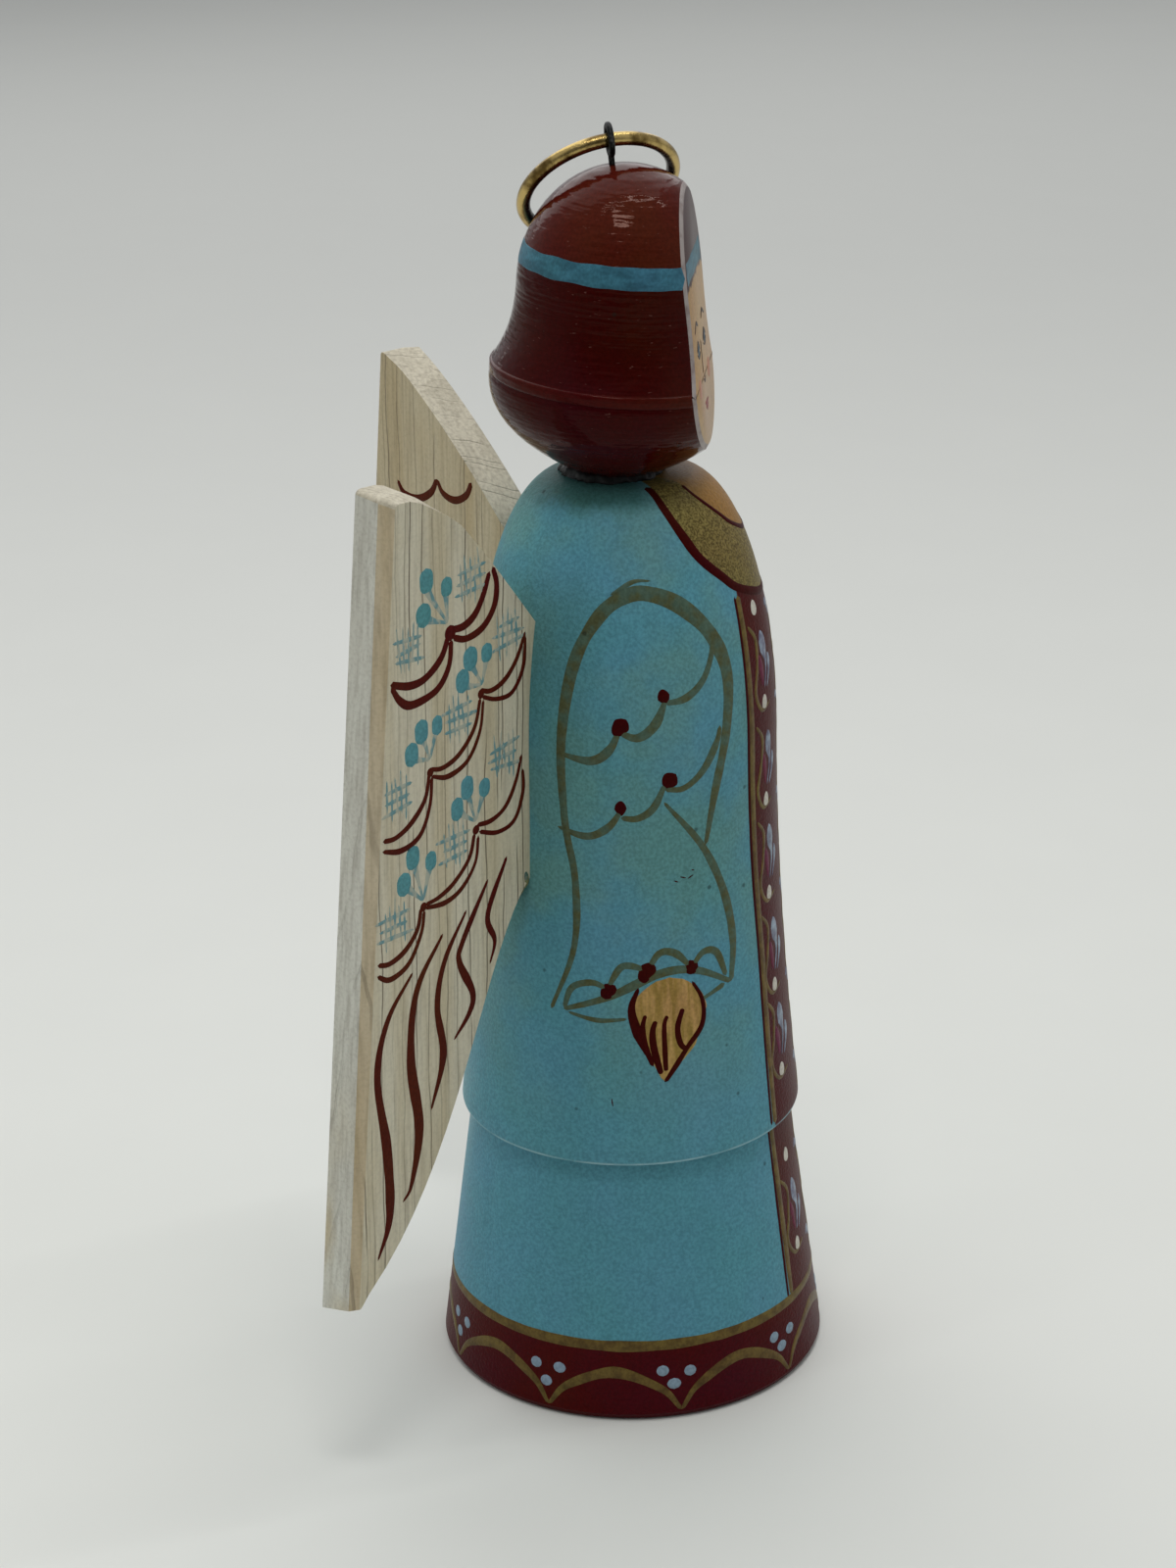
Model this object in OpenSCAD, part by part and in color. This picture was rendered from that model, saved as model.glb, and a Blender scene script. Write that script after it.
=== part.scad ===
// Carved wooden angel ornament: a turned robe, a turned head with a sawn face,
// two sawn wings let into slots, a screw eye and a loose hanging ring.
// Millimetres. Origin at the centre of the base, Z up, the angel looks towards -Y.

/* [Robe] */
// radius of the skirt where it stands on the table
skirt_r = 18.5; // [17:0.5:20]
// radius of the skirt under the tunic
skirt_top_r = 15.1; // [14.4:0.1:15.5]
// height of the step between skirt and tunic
step_z = 25.6; // [22:0.2:29]
// radius of the tunic at its lower edge
tunic_r = 16.1; // [15.7:0.1:17]
// radius of the chest, the narrowest part of the tunic's side
chest_r = 13.8; // [13.2:0.1:14.4]
// height at which the shoulders start to round
chest_z = 63; // [60:0.5:65]
// height of the flat on which the head is glued
robe_top = 87.3; // [85:0.1:88]
// radius of that flat
neck_seat_r = 5.6; // [5.2:0.1:6.2]
// small bevel round the foot of the skirt
foot_bevel = 0.5; // [0.2:0.1:1]

/* [Head] */
// height of the head from its neck to the crown
head_h = 27; // [26:0.2:29]
// radius of the neck end
neck_r = 4.4; // [4:0.1:4.8]
// radius of the rim, the widest part of the hair
brim_r = 11.4; // [10.9:0.1:12]
// height of the rim's lower edge above the neck
brim_h = 8.1; // [7.6:0.1:9]
// height of the rim band
brim_band = 1; // [0.6:0.1:1.4]
// radius of the hair at the foot of the dome
hood_r = 9.45; // [9:0.05:10]
// height of the foot of the dome above the neck
hood_h = 16.5; // [15.5:0.1:17.5]
// forward nod of the head in degrees
nod = 4.5; // [2:0.25:6]
// distance by which the head sits behind the robe's axis
head_back = 1.1; // [0.6:0.1:1.4]
// distance of the sawn face from the head's axis, at the neck
face_d = 9.28; // [9:0.02:9.6]
// backward lean of the sawn face in degrees
face_lean = 9.9; // [8.5:0.1:11]
// turn of the face towards the angel's right in degrees
face_turn = 7; // [0:0.5:10]

/* [Neck joint] */
// radius of the dowel
dowel_r = 2; // [1.5:0.1:2.5]
// depth of the dowel in the head and in the robe
dowel_depth = 8; // [6:0.5:10]
// gap filled with glue round the dowel and at each end of the wing slots
glue_gap = 0.08; // [0.04:0.01:0.12]
// thinnest part of the glue between robe and head
glue_bed = 0.25; // [0.15:0.05:0.4]
// radius of the glue bead round the neck
neck_bead_r = 5; // [4.8:0.1:5.2]

/* [Wings] */
// thickness of the board
wing_t = 3.8; // [3.2:0.1:4.2]
// angle of each wing from straight back, in degrees
wing_angle = 52; // [46:0.5:56]
// distance of the wing's outer face behind the robe's axis
wing_offset = 0.45; // [0:0.05:1]
// height of the wing's upper tip
wing_top = 92.4; // [90:0.1:94]
// height of the wing's lower tip
wing_low = 18.5; // [17:0.5:22]
// distance of the upper tip from the robe's axis
wing_reach = 30.8; // [29.5:0.1:32]
// distance of the lower tip from the robe's axis
wing_reach_low = 39.3; // [37:0.1:41]
// height of the root's upper corner
root_top = 76.6; // [75:0.2:78]
// height of the root's lower corner
root_low = 52.2; // [50:0.2:54]
// depth of the slot in the robe
slot_depth = 1.8; // [1.6:0.1:2.2]
// bevel on the outer back edge
wing_bevel = 1.5; // [1:0.1:2]
// radius of the glue squeezed out under the root
squeeze_r = 2.4; // [2.2:0.05:2.6]

/* [Hanger] */
// thickness of the screw eye's wire
eye_wire = 0.7; // [0.6:0.02:0.8]
// radius of the eye, measured to the middle of its wire
eye_r = 1.3; // [1.26:0.02:1.4]
// height of the eye's centre above the crown
eye_up = 2.15; // [2.05:0.05:2.4]
// distance of the eye behind the head's axis
eye_back = 1.7; // [1.3:0.1:2]
// backward lean of the eye against the head, in degrees
eye_lean = 9.5; // [6:0.5:12]
// turn of the eye about its own screw, in degrees
eye_turn = 17; // [10:0.5:20]
// depth of the screw in the head
screw_depth = 6; // [4:0.5:8]
// gap between the screw and its pilot hole
screw_fit = 0.02; // [0.01:0.01:0.04]
// radius of the ring, measured to the middle of its wire
ring_r = 6.9; // [6.5:0.05:7.2]
// thickness of the ring's wire
ring_wire = 1.15; // [1:0.05:1.2]
// gap between the resting ring and the crown
ring_gap = 0.08; // [0.05:0.01:0.15]
// opening of the ring's butted ends, in degrees
ring_split = 1.5; // [1:0.25:3]

/* [Hidden] */
$fn = 96;
step = 7.5;
shoulder_h = robe_top - chest_z;
dome_h = head_h - hood_h;
neck_z = robe_top + glue_bed + neck_r * sin(nod);
crown_z = hood_h + dome_h * sqrt(1 - pow(eye_back / hood_r, 2));
bore_r = dowel_r + glue_gap;
bore_depth = dowel_depth + 0.5;
slot_w = wing_t + 2 * glue_gap;
edge_lean = atan2(wing_reach_low - wing_reach, wing_top - wing_low);

// radius of the tunic at height z: a flare below the chest, a quarter ellipse above it
function tunic_r_at(z) = z < chest_z
    ? chest_r + (tunic_r - chest_r) * pow((chest_z - z) / (chest_z - step_z), 1.8)
    : neck_seat_r + (chest_r - neck_seat_r) * sqrt(1 - pow((z - chest_z) / shoulder_h, 2));

// point of a cubic curve with end points a, d and handles b, c
function curve(a, b, c, d, t) = a * pow(1 - t, 3) + 3 * b * t * pow(1 - t, 2)
    + 3 * c * t * t * (1 - t) + d * pow(t, 3);

// distance of a point from the dome of the hair, in the head's own frame
function dome_gap(p) =
    let (e = [p.x / hood_r, p.y / hood_r, (p.z - hood_h) / dome_h])
    let (g = [e.x / hood_r, e.y / hood_r, e.z / dome_h])
    (norm(e) - 1) * norm(e) / norm(g);

// point of the ring's wire in the head's frame: s is the ring's slope, w goes round it
function ring_point(s, w) =
    let (out = ring_r * (1 + cos(w)) * cos(s))
    let (side = ring_r * sin(w))
    let (x = out * cos(eye_turn) - side * sin(eye_turn))
    let (y = out * sin(eye_turn) + side * cos(eye_turn))
    let (z = eye_up - ring_r * (1 + cos(w)) * sin(s))
    [x, eye_back + y * cos(eye_lean) + z * sin(eye_lean),
     crown_z - y * sin(eye_lean) + z * cos(eye_lean)];

// steepest slope at which the ring still clears the crown
ring_slope = max([for (s = [20 : 0.25 : 70])
    if (min([for (w = [0 : 10 : 350]) dome_gap(ring_point(s, w))]) > ring_wire / 2 + ring_gap) s]);

// frames of the head, the eye and a wing
module in_head() {
    translate([0, head_back, neck_z]) rotate([nod, 0, 0]) children();
}

module in_eye() {
    in_head() translate([0, eye_back, crown_z]) rotate([-eye_lean, 0, 0]) rotate([0, 0, eye_turn]) children();
}

module in_wing() {
    rotate([0, 0, 90 + wing_angle]) translate([0, -wing_offset, 0]) children();
}

// a board of the given thickness, its outline drawn along (reach, height)
module board(thickness) {
    rotate([90, 0, 0]) linear_extrude(thickness) children();
}

// the turned robe before it is drilled and slotted
module robe() {
    tunic = [for (i = [0 : 8]) let (z = step_z + (chest_z - step_z) * i / 9) [tunic_r_at(z), z]];
    shoulder = [for (a = [0 : step : 90])
        [neck_seat_r + (chest_r - neck_seat_r) * cos(a), chest_z + shoulder_h * sin(a)]];
    skirt = [[0, 0], [skirt_r - foot_bevel, 0], [skirt_r, foot_bevel], [skirt_top_r, step_z]];
    rotate_extrude() polygon(concat(skirt, tunic, shoulder, [[0, robe_top]]));
}

// the turned head before the face is sawn off
module hair() {
    bowl = [for (i = [0 : 8]) let (u = i / 9)
        [neck_r + (brim_r - neck_r) * (1 - pow(1 - u, 1.95)), brim_h * u]];
    flare = [for (i = [0 : 8]) let (u = i / 9)
        [hood_r + (brim_r - hood_r) * pow(1 - u, 2.6),
         brim_h + brim_band + (hood_h - brim_h - brim_band) * u]];
    dome = [for (a = [0 : step : 82.5]) [hood_r * cos(a), hood_h + dome_h * sin(a)]];
    rotate_extrude() polygon(concat([[0, 0]], bowl, [[brim_r, brim_h]], flare, dome, [[0, head_h]]));
}

// everything in front of the sawn face
module face_waste() {
    rotate([0, 0, -face_turn]) translate([0, -face_d, 0]) rotate([-face_lean, 0, 0])
        translate([-20, -20, -20]) cube([40, 20, 60]);
}

// root line of a wing inside the slot, parallel to the tunic's side
function root_at(z) = (z > chest_z ? tunic_r_at(root_top) : tunic_r_at(root_low)) - slot_depth;

module wing_outline() {
    shoulder = [wing_reach - 2.2, wing_top - 0.2];
    upper = [tunic_r_at(root_top) + 0.3, root_top];
    lower = [tunic_r_at(root_low) + 0.1, root_low];
    toe = [wing_reach_low - 1.3, wing_low + 0.8];
    span = lower.y - toe.y;
    top_edge = [for (i = [0 : 9]) curve(shoulder, shoulder + [-3.9, -1.3], upper + [6.65, 8.1], upper, i / 9)];
    low_edge = [for (i = [0 : 11])
        curve(lower, lower + [6.65, -0.153 * span], toe + [-12.5, 0.28 * span], toe, i / 11)];
    heel = [[wing_reach_low - 0.2, wing_low + 0.2], [wing_reach_low, wing_low + 1.1]];
    polygon(concat([[wing_reach, wing_top]], top_edge, [[root_at(root_top), root_top],
        [root_at(root_low), root_low]], low_edge, heel));
}

module slot_outline() {
    far = chest_r + 5;
    polygon([[root_at(root_top) - glue_gap, root_top + glue_gap], [far, root_top + glue_gap],
        [far, root_low - glue_gap], [root_at(root_low) - glue_gap, root_low - glue_gap]]);
}

// corner planed off along the outer back edge
module edge_waste() {
    translate([wing_reach, 0, wing_top]) rotate([0, -edge_lean, 0]) rotate([0, 0, 45])
        translate([-wing_bevel * sqrt(0.5), -10, -100]) cube([10, 20, 120]);
}

module wing() {
    in_wing() difference() {
        board(wing_t) wing_outline();
        edge_waste();
    }
}

module wing_slot() {
    in_wing() translate([0, glue_gap, 0]) board(slot_w) slot_outline();
}

module wing_glue() {
    difference() {
        in_wing() translate([tunic_r_at(root_low) + 0.5, -wing_t / 2, root_low]) sphere(squeeze_r);
        robe();
        wing();
    }
}

module neck_bore() {
    in_head() translate([0, 0, -bore_depth]) cylinder(r = bore_r, h = 2 * bore_depth);
}

module body() {
    color([0.26, 0.42, 0.45]) difference() {
        robe();
        wing_slot();
        mirror([1, 0, 0]) wing_slot();
        neck_bore();
    }
}

module head() {
    color([0.2, 0.05, 0.03]) difference() {
        in_head() difference() {
            hair();
            face_waste();
        }
        neck_bore();
        in_eye() translate([0, 0, -screw_depth - 0.5])
            cylinder(r = eye_wire / 2 + screw_fit, h = screw_depth + 3);
    }
}

module neck_dowel() {
    color([0.8, 0.66, 0.45]) in_head() translate([0, 0, -dowel_depth]) cylinder(r = dowel_r, h = 2 * dowel_depth);
}

module neck_glue() {
    color([0.12, 0.1, 0.07]) difference() {
        translate([0, head_back, robe_top]) rotate_extrude() polygon([[0, 0], [neck_bead_r - 0.35, 0],
            [neck_bead_r, 0.3], [neck_bead_r, 0.7], [neck_bead_r - 0.4, 1.4], [0, 1.4]]);
        in_head() translate([-10, -10, 0]) cube([20, 20, 10]);
        neck_bore();
    }
}

module right_wing() {
    color([0.68, 0.66, 0.6]) wing();
}

module left_wing() {
    color([0.68, 0.66, 0.6]) mirror([1, 0, 0]) wing();
}

module right_wing_glue() {
    color([0.55, 0.53, 0.3]) wing_glue();
}

module left_wing_glue() {
    color([0.55, 0.53, 0.3]) mirror([1, 0, 0]) wing_glue();
}

module screw_eye() {
    tip = 1.2;
    color([0.16, 0.15, 0.14]) in_eye() {
        translate([0, 0, eye_up]) rotate([90, 0, 0]) rotate([0, 0, -90])
            rotate_extrude(angle = 338) translate([eye_r, 0]) circle(r = eye_wire / 2);
        translate([0, 0, tip - screw_depth]) cylinder(r = eye_wire / 2, h = screw_depth - tip + eye_up - eye_r);
        translate([0, 0, -screw_depth]) cylinder(r1 = 0.08, r2 = eye_wire / 2, h = tip);
    }
}

module hanging_ring() {
    color([0.72, 0.56, 0.27]) in_eye() translate([0, 0, eye_up]) rotate([0, ring_slope, 0])
        translate([ring_r, 0, 0]) rotate([0, 0, ring_split / 2])
        rotate_extrude(angle = 360 - ring_split) translate([ring_r, 0]) circle(r = ring_wire / 2);
}

body();
head();
neck_dowel();
neck_glue();
right_wing();
left_wing();
right_wing_glue();
left_wing_glue();
screw_eye();
hanging_ring();
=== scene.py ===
import math
from bisect import bisect_right

import bmesh
import bpy
from mathutils import Matrix, Vector, noise
from mathutils.geometry import interpolate_bezier


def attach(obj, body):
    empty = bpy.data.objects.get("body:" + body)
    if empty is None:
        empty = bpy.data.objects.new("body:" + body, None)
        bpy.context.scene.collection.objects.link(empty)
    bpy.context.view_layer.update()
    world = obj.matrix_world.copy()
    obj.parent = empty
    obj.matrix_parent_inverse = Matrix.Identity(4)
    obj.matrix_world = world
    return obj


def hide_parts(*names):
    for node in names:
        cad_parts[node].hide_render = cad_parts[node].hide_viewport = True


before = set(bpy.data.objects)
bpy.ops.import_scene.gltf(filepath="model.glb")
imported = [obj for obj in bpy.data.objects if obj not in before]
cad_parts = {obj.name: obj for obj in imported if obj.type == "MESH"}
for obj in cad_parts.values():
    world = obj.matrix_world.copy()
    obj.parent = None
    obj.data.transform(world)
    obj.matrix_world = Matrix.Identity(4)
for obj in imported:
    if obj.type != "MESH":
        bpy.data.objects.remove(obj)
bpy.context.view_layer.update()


# Robe: one billet of lime wood turned on a lathe, with a flaring skirt, a tunic that
# steps out over it and round shoulders. It is brushed blue with a dark red hem and
# front panel and a gold collar, then varnished; its foot is left bare.
MM = 0.001
WELD = 1e-7
SKIRT_FOOT, SKIRT_TOP, STEP = 18.5, 15.1, 25.6
TUNIC_HEM, CHEST, CHEST_HEIGHT, TUNIC_FLARE = 16.1, 13.8, 63.0, 1.8
NECK_SEAT, ROBE_TOP = 5.6, 87.3
DOWEL_HOLE, DOWEL_DEPTH = 2.08, 8.0
FOOT_BEVEL, FOOT_ROUND = [(.95, 0), (.36, .2)], .7
STEP_CORNER, STEP_ROUND = [(.3, 0), (.08, .07)], .3
LATHE_STEPS, ARC_STEP = 144, 3


def robe_radius(height):
    """How thick the robe is, from its axis, at a height above the foot, in mm."""
    if height < STEP:
        return SKIRT_FOOT + (SKIRT_TOP - SKIRT_FOOT) * height / STEP
    if height < CHEST_HEIGHT:
        low = (CHEST_HEIGHT - height) / (CHEST_HEIGHT - STEP)
        return CHEST + (TUNIC_HEM - CHEST) * low ** TUNIC_FLARE
    up = min(1.0, (height - CHEST_HEIGHT) / (ROBE_TOP - CHEST_HEIGHT))
    return NECK_SEAT + (CHEST - NECK_SEAT) * math.sqrt(1 - up * up)


def weld(bm):
    """Joins the points that meet and turns every face outwards."""
    bmesh.ops.remove_doubles(bm, verts=bm.verts, dist=WELD)
    bmesh.ops.recalc_face_normals(bm, faces=bm.faces)


def turned(outline, steps=LATHE_STEPS):
    """A shape off the lathe: its half outline (radius, height) spun about the axis."""
    bm = bmesh.new()
    line = [bm.verts.new((r * MM, 0, z * MM)) for r, z in outline]
    edges = [bm.edges.new(pair) for pair in zip(line, line[1:])]
    bmesh.ops.spin(bm, geom=line + edges, cent=(0, 0, 0), axis=(0, 0, 1),
                   dvec=(0, 0, 0), angle=2 * math.pi, steps=steps, use_merge=True)
    weld(bm)
    return bm


def piece(name, bm, *materials, sharp=35):
    """A finished mesh as an object, smooth but for edges past so many degrees."""
    weld(bm)
    for face in bm.faces:
        face.smooth = True
    for edge in bm.edges:
        edge.smooth = edge.calc_face_angle(0) < math.radians(sharp)
    mesh = bpy.data.meshes.new(name)
    bm.to_mesh(mesh)
    bm.free()
    for material in materials:
        mesh.materials.append(material)
    made = bpy.data.objects.new(name, mesh)
    bpy.context.scene.collection.objects.link(made)
    return made


def tint(red, green, blue):
    """A paint colour given in screen values, made linear for the shaders."""
    return [*(((c / 255 + .055) / 1.055) ** 2.4 for c in (red, green, blue)), 1.0]


def add(tree, kind, inputs=None, **settings):
    """One shader node: a socket among its inputs is linked, a plain value is set."""
    node = tree.nodes.new("ShaderNode" + kind)
    for key, value in settings.items():
        setattr(node, key, value)
    for key, value in (inputs or {}).items():
        if isinstance(value, bpy.types.NodeSocket):
            tree.links.new(value, node.inputs[key])
        else:
            node.inputs[key].default_value = value
    return node


def reckon(tree, operation, *values):
    """A sum that the shader works out."""
    return add(tree, "Math", dict(enumerate(values)), operation=operation).outputs[0]


def times(tree, first, *others):
    """The product of masks, values and shares."""
    for other in others:
        first = reckon(tree, "MULTIPLY", first, other)
    return first


def tally(tree, start, *shares):
    """A start value with a share of each other value added to it."""
    for value, share in shares:
        start = reckon(tree, "MULTIPLY_ADD", value, share, start)
    return start


def reckon_vector(tree, operation, *values):
    """A sum of vectors; a length or a dot product comes out as a plain value."""
    outputs = add(tree, "VectorMath", dict(enumerate(values)), operation=operation).outputs
    return outputs["Value" if operation in ("LENGTH", "DOT_PRODUCT") else "Vector"]


def fade(tree, value, start, end):
    """A soft mask that goes from 0 at start to 1 at end."""
    return add(tree, "MapRange", {0: value, 1: start, 2: end},
               interpolation_type="SMOOTHSTEP").outputs[0]


def over(tree, ground, *layers):
    """A ground colour with others painted over it in turn, each where its mask is 1."""
    for mask, colour in layers:
        ground = add(tree, "Mix", {0: mask, 6: ground, 7: colour}, data_type="RGBA").outputs[2]
    return ground


def cloud(tree, place, scale, detail=3.0, stretch=(1, 1, 1)):
    """Soft noise at a scale per mm, on a place in mm."""
    stretched = reckon_vector(tree, "MULTIPLY", place, stretch)
    return add(tree, "TexNoise", {"Vector": stretched, "Scale": scale, "Detail": detail}).outputs[0]


def bump(tree, height, depth):
    """Relief of a depth in mm on the surface."""
    return add(tree, "Bump", {"Strength": 1.0, "Distance": depth * MM, "Height": height}).outputs[0]


def place_in_mm(tree):
    found = add(tree, "TexCoord").outputs["Object"]
    return reckon_vector(tree, "MULTIPLY", found, (1 / MM, 1 / MM, 1 / MM))


def finish(name, **plain):
    """A material with plain sockets set by name: (material, tree, its shader's inputs)."""
    material = bpy.data.materials.new(name)
    material.use_nodes = True
    surface = material.node_tree.nodes["Principled BSDF"].inputs
    for socket, value in plain.items():
        surface[socket.replace("_", " ")].default_value = value
    return material, material.node_tree, surface


def feed(tree, sockets, **sources):
    """Links each source to the socket that it is named for."""
    for socket, source in sources.items():
        tree.links.new(source, sockets[socket.replace("_", " ")])


def effect(name, inputs, outputs):
    """A shader group that several finishes share: (group, its inputs, its outputs)."""
    group = bpy.data.node_groups.new(name, "ShaderNodeTree")
    for way, sockets in (("INPUT", inputs), ("OUTPUT", outputs)):
        for socket, kind in sockets.items():
            group.interface.new_socket(socket, in_out=way, socket_type="NodeSocket" + kind)
    return (group, group.nodes.new("NodeGroupInput").outputs,
            group.nodes.new("NodeGroupOutput").inputs)


def use(tree, group, **inputs):
    return add(tree, "Group", inputs, node_tree=group).outputs


# Brushed paint: soft mottling, fine streaks left by bristles, a few dark specks.
SPECK_DARK = tint(24, 26, 22)
brushed, given, out = effect(
    "brushed_paint", {"Place": "Vector", "Colour": "Color", "Streaks": "Vector"},
    {"Colour": "Color", "Height": "Float", "Gloss": "Float"})
mottle = cloud(brushed, given["Place"], .09, 4)
fine = cloud(brushed, given["Place"], 3.4)
streaks = cloud(brushed, given["Place"], 1, 4, given["Streaks"])
cells = add(brushed, "TexVoronoi", {"Vector": given["Place"], "Scale": .34}).outputs
draw = add(brushed, "SeparateColor", {0: cells["Color"]}).outputs[0]
few = reckon(brushed, "GREATER_THAN", draw, .72)
speck = times(brushed, fade(brushed, cells["Distance"], .10, .04), few)
varied = add(brushed, "HueSaturation", {
    "Hue": tally(brushed, .47, (mottle, .06)),
    "Value": tally(brushed, .625, (mottle, .30), (streaks, .16), (fade(brushed, fine, .3, .7), .28)),
    "Color": given["Colour"]}).outputs[0]
feed(brushed, out, Colour=over(brushed, varied, (times(brushed, speck, .55), SPECK_DARK)),
     Height=tally(brushed, fine, (streaks, .5)), Gloss=tally(brushed, mottle, (speck, .3)))

# Wood grain: broad tone, fine fibres and thin broken cracks, all along the third axis.
grain, given, out = effect("wood_grain", {"Place": "Vector"},
                           {"Tone": "Float", "Fibre": "Float", "Crack": "Float", "Height": "Float"})
place = given["Place"]
tone = cloud(grain, place, .30, 4, (1, 1, .05))
fibre = cloud(grain, place, 2.4, 4, (1, 1, .05))
wander = cloud(grain, place, .3, 3, (.5, .5, .25))
x, y = add(grain, "SeparateXYZ", {0: place}).outputs[:2]
lines = add(grain, "TexVoronoi", {"W": tally(grain, x, (y, .4), (wander, 1.6)), "Scale": .8},
            voronoi_dimensions="1D").outputs
gaps = fade(grain, cloud(grain, place, .5, 2, (1, 1, .12)), .36, .54)
deep = fade(grain, add(grain, "SeparateColor", {0: lines["Color"]}).outputs[0], 0, .6)
crack = times(grain, fade(grain, lines["Distance"], .075, .025), gaps, deep)
feed(grain, out, Tone=tone, Fibre=fibre, Crack=crack,
     Height=reckon(grain, "SUBTRACT", times(grain, fibre, .6), crack))

ROBE_BLUE, ROBE_GREENER, SHADE_AND_SMEAR_BLUE = tint(86, 145, 161), tint(95, 145, 146), tint(72, 120, 116)
HEM_RED, FLESH, STEP_WEAR_AND_HIGHLIGHT_BLUE = tint(70, 3, 8), tint(146, 110, 57), tint(146, 184, 192)
COLLAR_GOLD, COLLAR_DARK = tint(132, 117, 67), tint(88, 75, 40)
WOOD_DARK, WOOD_PALE = tint(172, 138, 92), tint(214, 184, 138)
HEM_TOP, EDGE_SOFT, STEP_LINE_ABOVE = 7.4, .1, .12
PANEL_EDGE = [(7, 30), (25.5, 30), (25.8, 33), (42, 32.8), (52, 34.6), (62, 35.5), (80, 35.5)]
COLLAR_EDGE = [(0, 76.4), (15.5, 76.8), (33.6, 78.2), (42.4, 79.6), (53, 81.6), (59.4, 83.6),
               (64.2, 85.7), (67.2, 86.9), (68, 87.5), (90, 99)]
NECKLINE = [(0, 82), (18.4, 83.1), (29, 84.6), (39, 86.3), (41, 87.4), (90, 99)]


def followed(tree, value, points):
    """The height or turn that a drawn edge has at a value; both run from 0 to 100."""
    node = add(tree, "FloatCurve", {"Value": times(tree, value, .01)})
    curve = node.mapping.curves[0]
    for spot in points[1:-1]:
        curve.points.new(spot[0] / 100, spot[1] / 100)
    for end in (0, -1):
        curve.points[end].location = points[end][0] / 100, points[end][1] / 100
    for point in curve.points:
        point.handle_type = "VECTOR"
    node.mapping.update()
    return times(tree, node.outputs[0], 100)


robe_paint, tree, surface = finish("robe_paint", Specular_IOR_Level=0.07)
place = place_in_mm(tree)
x, y, at_height = add(tree, "SeparateXYZ", {0: place}).outputs
at_turn = reckon(tree, "DEGREES", reckon(tree, "ARCTAN2", reckon(tree, "ABSOLUTE", x), times(tree, y, -1)))
shake = reckon(tree, "SUBTRACT", cloud(tree, place, .9, 2), .5)
shaky_height, shaky_turn = tally(tree, at_height, (shake, .5)), tally(tree, at_turn, (shake, 1.6))
past_panel = reckon(tree, "SUBTRACT", shaky_turn, followed(tree, at_height, PANEL_EDGE))
panel = fade(tree, past_panel, 3 * EDGE_SOFT, -3 * EDGE_SOFT)
hem = fade(tree, shaky_height, HEM_TOP + EDGE_SOFT, HEM_TOP - EDGE_SOFT)
collar, skin = (fade(tree, reckon(tree, "SUBTRACT", shaky_height, followed(tree, at_turn, edge)),
                     -EDGE_SOFT, EDGE_SOFT) for edge in (COLLAR_EDGE, NECKLINE))
greener = times(tree, fade(tree, cloud(tree, place, .11), .36, .62), fade(tree, at_height, 22, 46))
# Painted shade: the robe is painted darker blue just in front of each wing root, where the wing shades it.
# The same darker blue is also a smear round the back of the neck.
painted_shade_by_wing = times(tree, fade(tree, at_turn, 96, 116), fade(tree, at_height, 58, 72),
                fade(tree, at_height, 82, 78), .45)
by_neck = times(tree, fade(tree, tally(tree, at_height, (cloud(tree, place, .5), 3)), 86.2, 88.6),
                fade(tree, at_turn, 68, 84))
sandy_gold = over(tree, COLLAR_DARK, (fade(tree, cloud(tree, place, 5.0, 2), .36, .64), COLLAR_GOLD))
colour = over(tree, ROBE_BLUE, (greener, ROBE_GREENER), (painted_shade_by_wing, SHADE_AND_SMEAR_BLUE), (by_neck, SHADE_AND_SMEAR_BLUE),
              (panel, HEM_RED), (hem, HEM_RED), (collar, sandy_gold), (skin, FLESH))
coat = use(tree, brushed, Place=place, Colour=colour, Streaks=(.5, .5, .22))
# The pale line just above the tunic's step is partly wear and partly a painted highlight of the step's edge
# catching the light.
off_step = reckon(tree, "ABSOLUTE", reckon(tree, "SUBTRACT", at_height, STEP + STEP_LINE_ABOVE))
step_wear_and_highlight = times(tree, fade(tree, off_step, .22, .06), fade(tree, cloud(tree, place, .25), .2, .65))
feed(tree, surface, Base_Color=over(tree, coat["Colour"], (step_wear_and_highlight, STEP_WEAR_AND_HIGHLIGHT_BLUE)),
     Roughness=tally(tree, .26, (coat["Gloss"], .26)), Normal=bump(tree, coat["Height"], .07))

bare_wood, tree, surface = finish("bare_wood", Roughness=0.62)
place = place_in_mm(tree)
wood = use(tree, grain, Place=place)
from_heart = reckon_vector(tree, "LENGTH", reckon_vector(tree, "MULTIPLY", place, (1, 1, 0)))
rings = reckon(tree, "SINE", times(tree, tally(tree, from_heart, (cloud(tree, place, .2), 3)), 4.2))
feed(tree, surface, Normal=bump(tree, tally(tree, wood["Height"], (rings, .2)), .03),
     Base_Color=over(tree, WOOD_DARK, (tally(tree, wood["Tone"], (rings, .16)), WOOD_PALE)))

outline = [(0, 0), *((SKIRT_FOOT - inset, z) for inset, z in FOOT_BEVEL)]
outline += [(robe_radius(z), z) for z in (FOOT_ROUND, *range(1, 26))]
outline += [(SKIRT_TOP, STEP), *((TUNIC_HEM - inset, STEP + z) for inset, z in STEP_CORNER)]
outline += [(robe_radius(z), z) for z in (STEP + STEP_ROUND, *range(27, 63))]
for degrees in range(0, 91, ARC_STEP):
    up = CHEST_HEIGHT + (ROBE_TOP - CHEST_HEIGHT) * math.sin(math.radians(degrees))
    outline.append((robe_radius(up), up))
outline += [(NECK_SEAT * .75, ROBE_TOP), (DOWEL_HOLE, ROBE_TOP), (DOWEL_HOLE, ROBE_TOP - DOWEL_DEPTH),
            (0, ROBE_TOP - DOWEL_DEPTH)]
bm = turned(outline)
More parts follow.
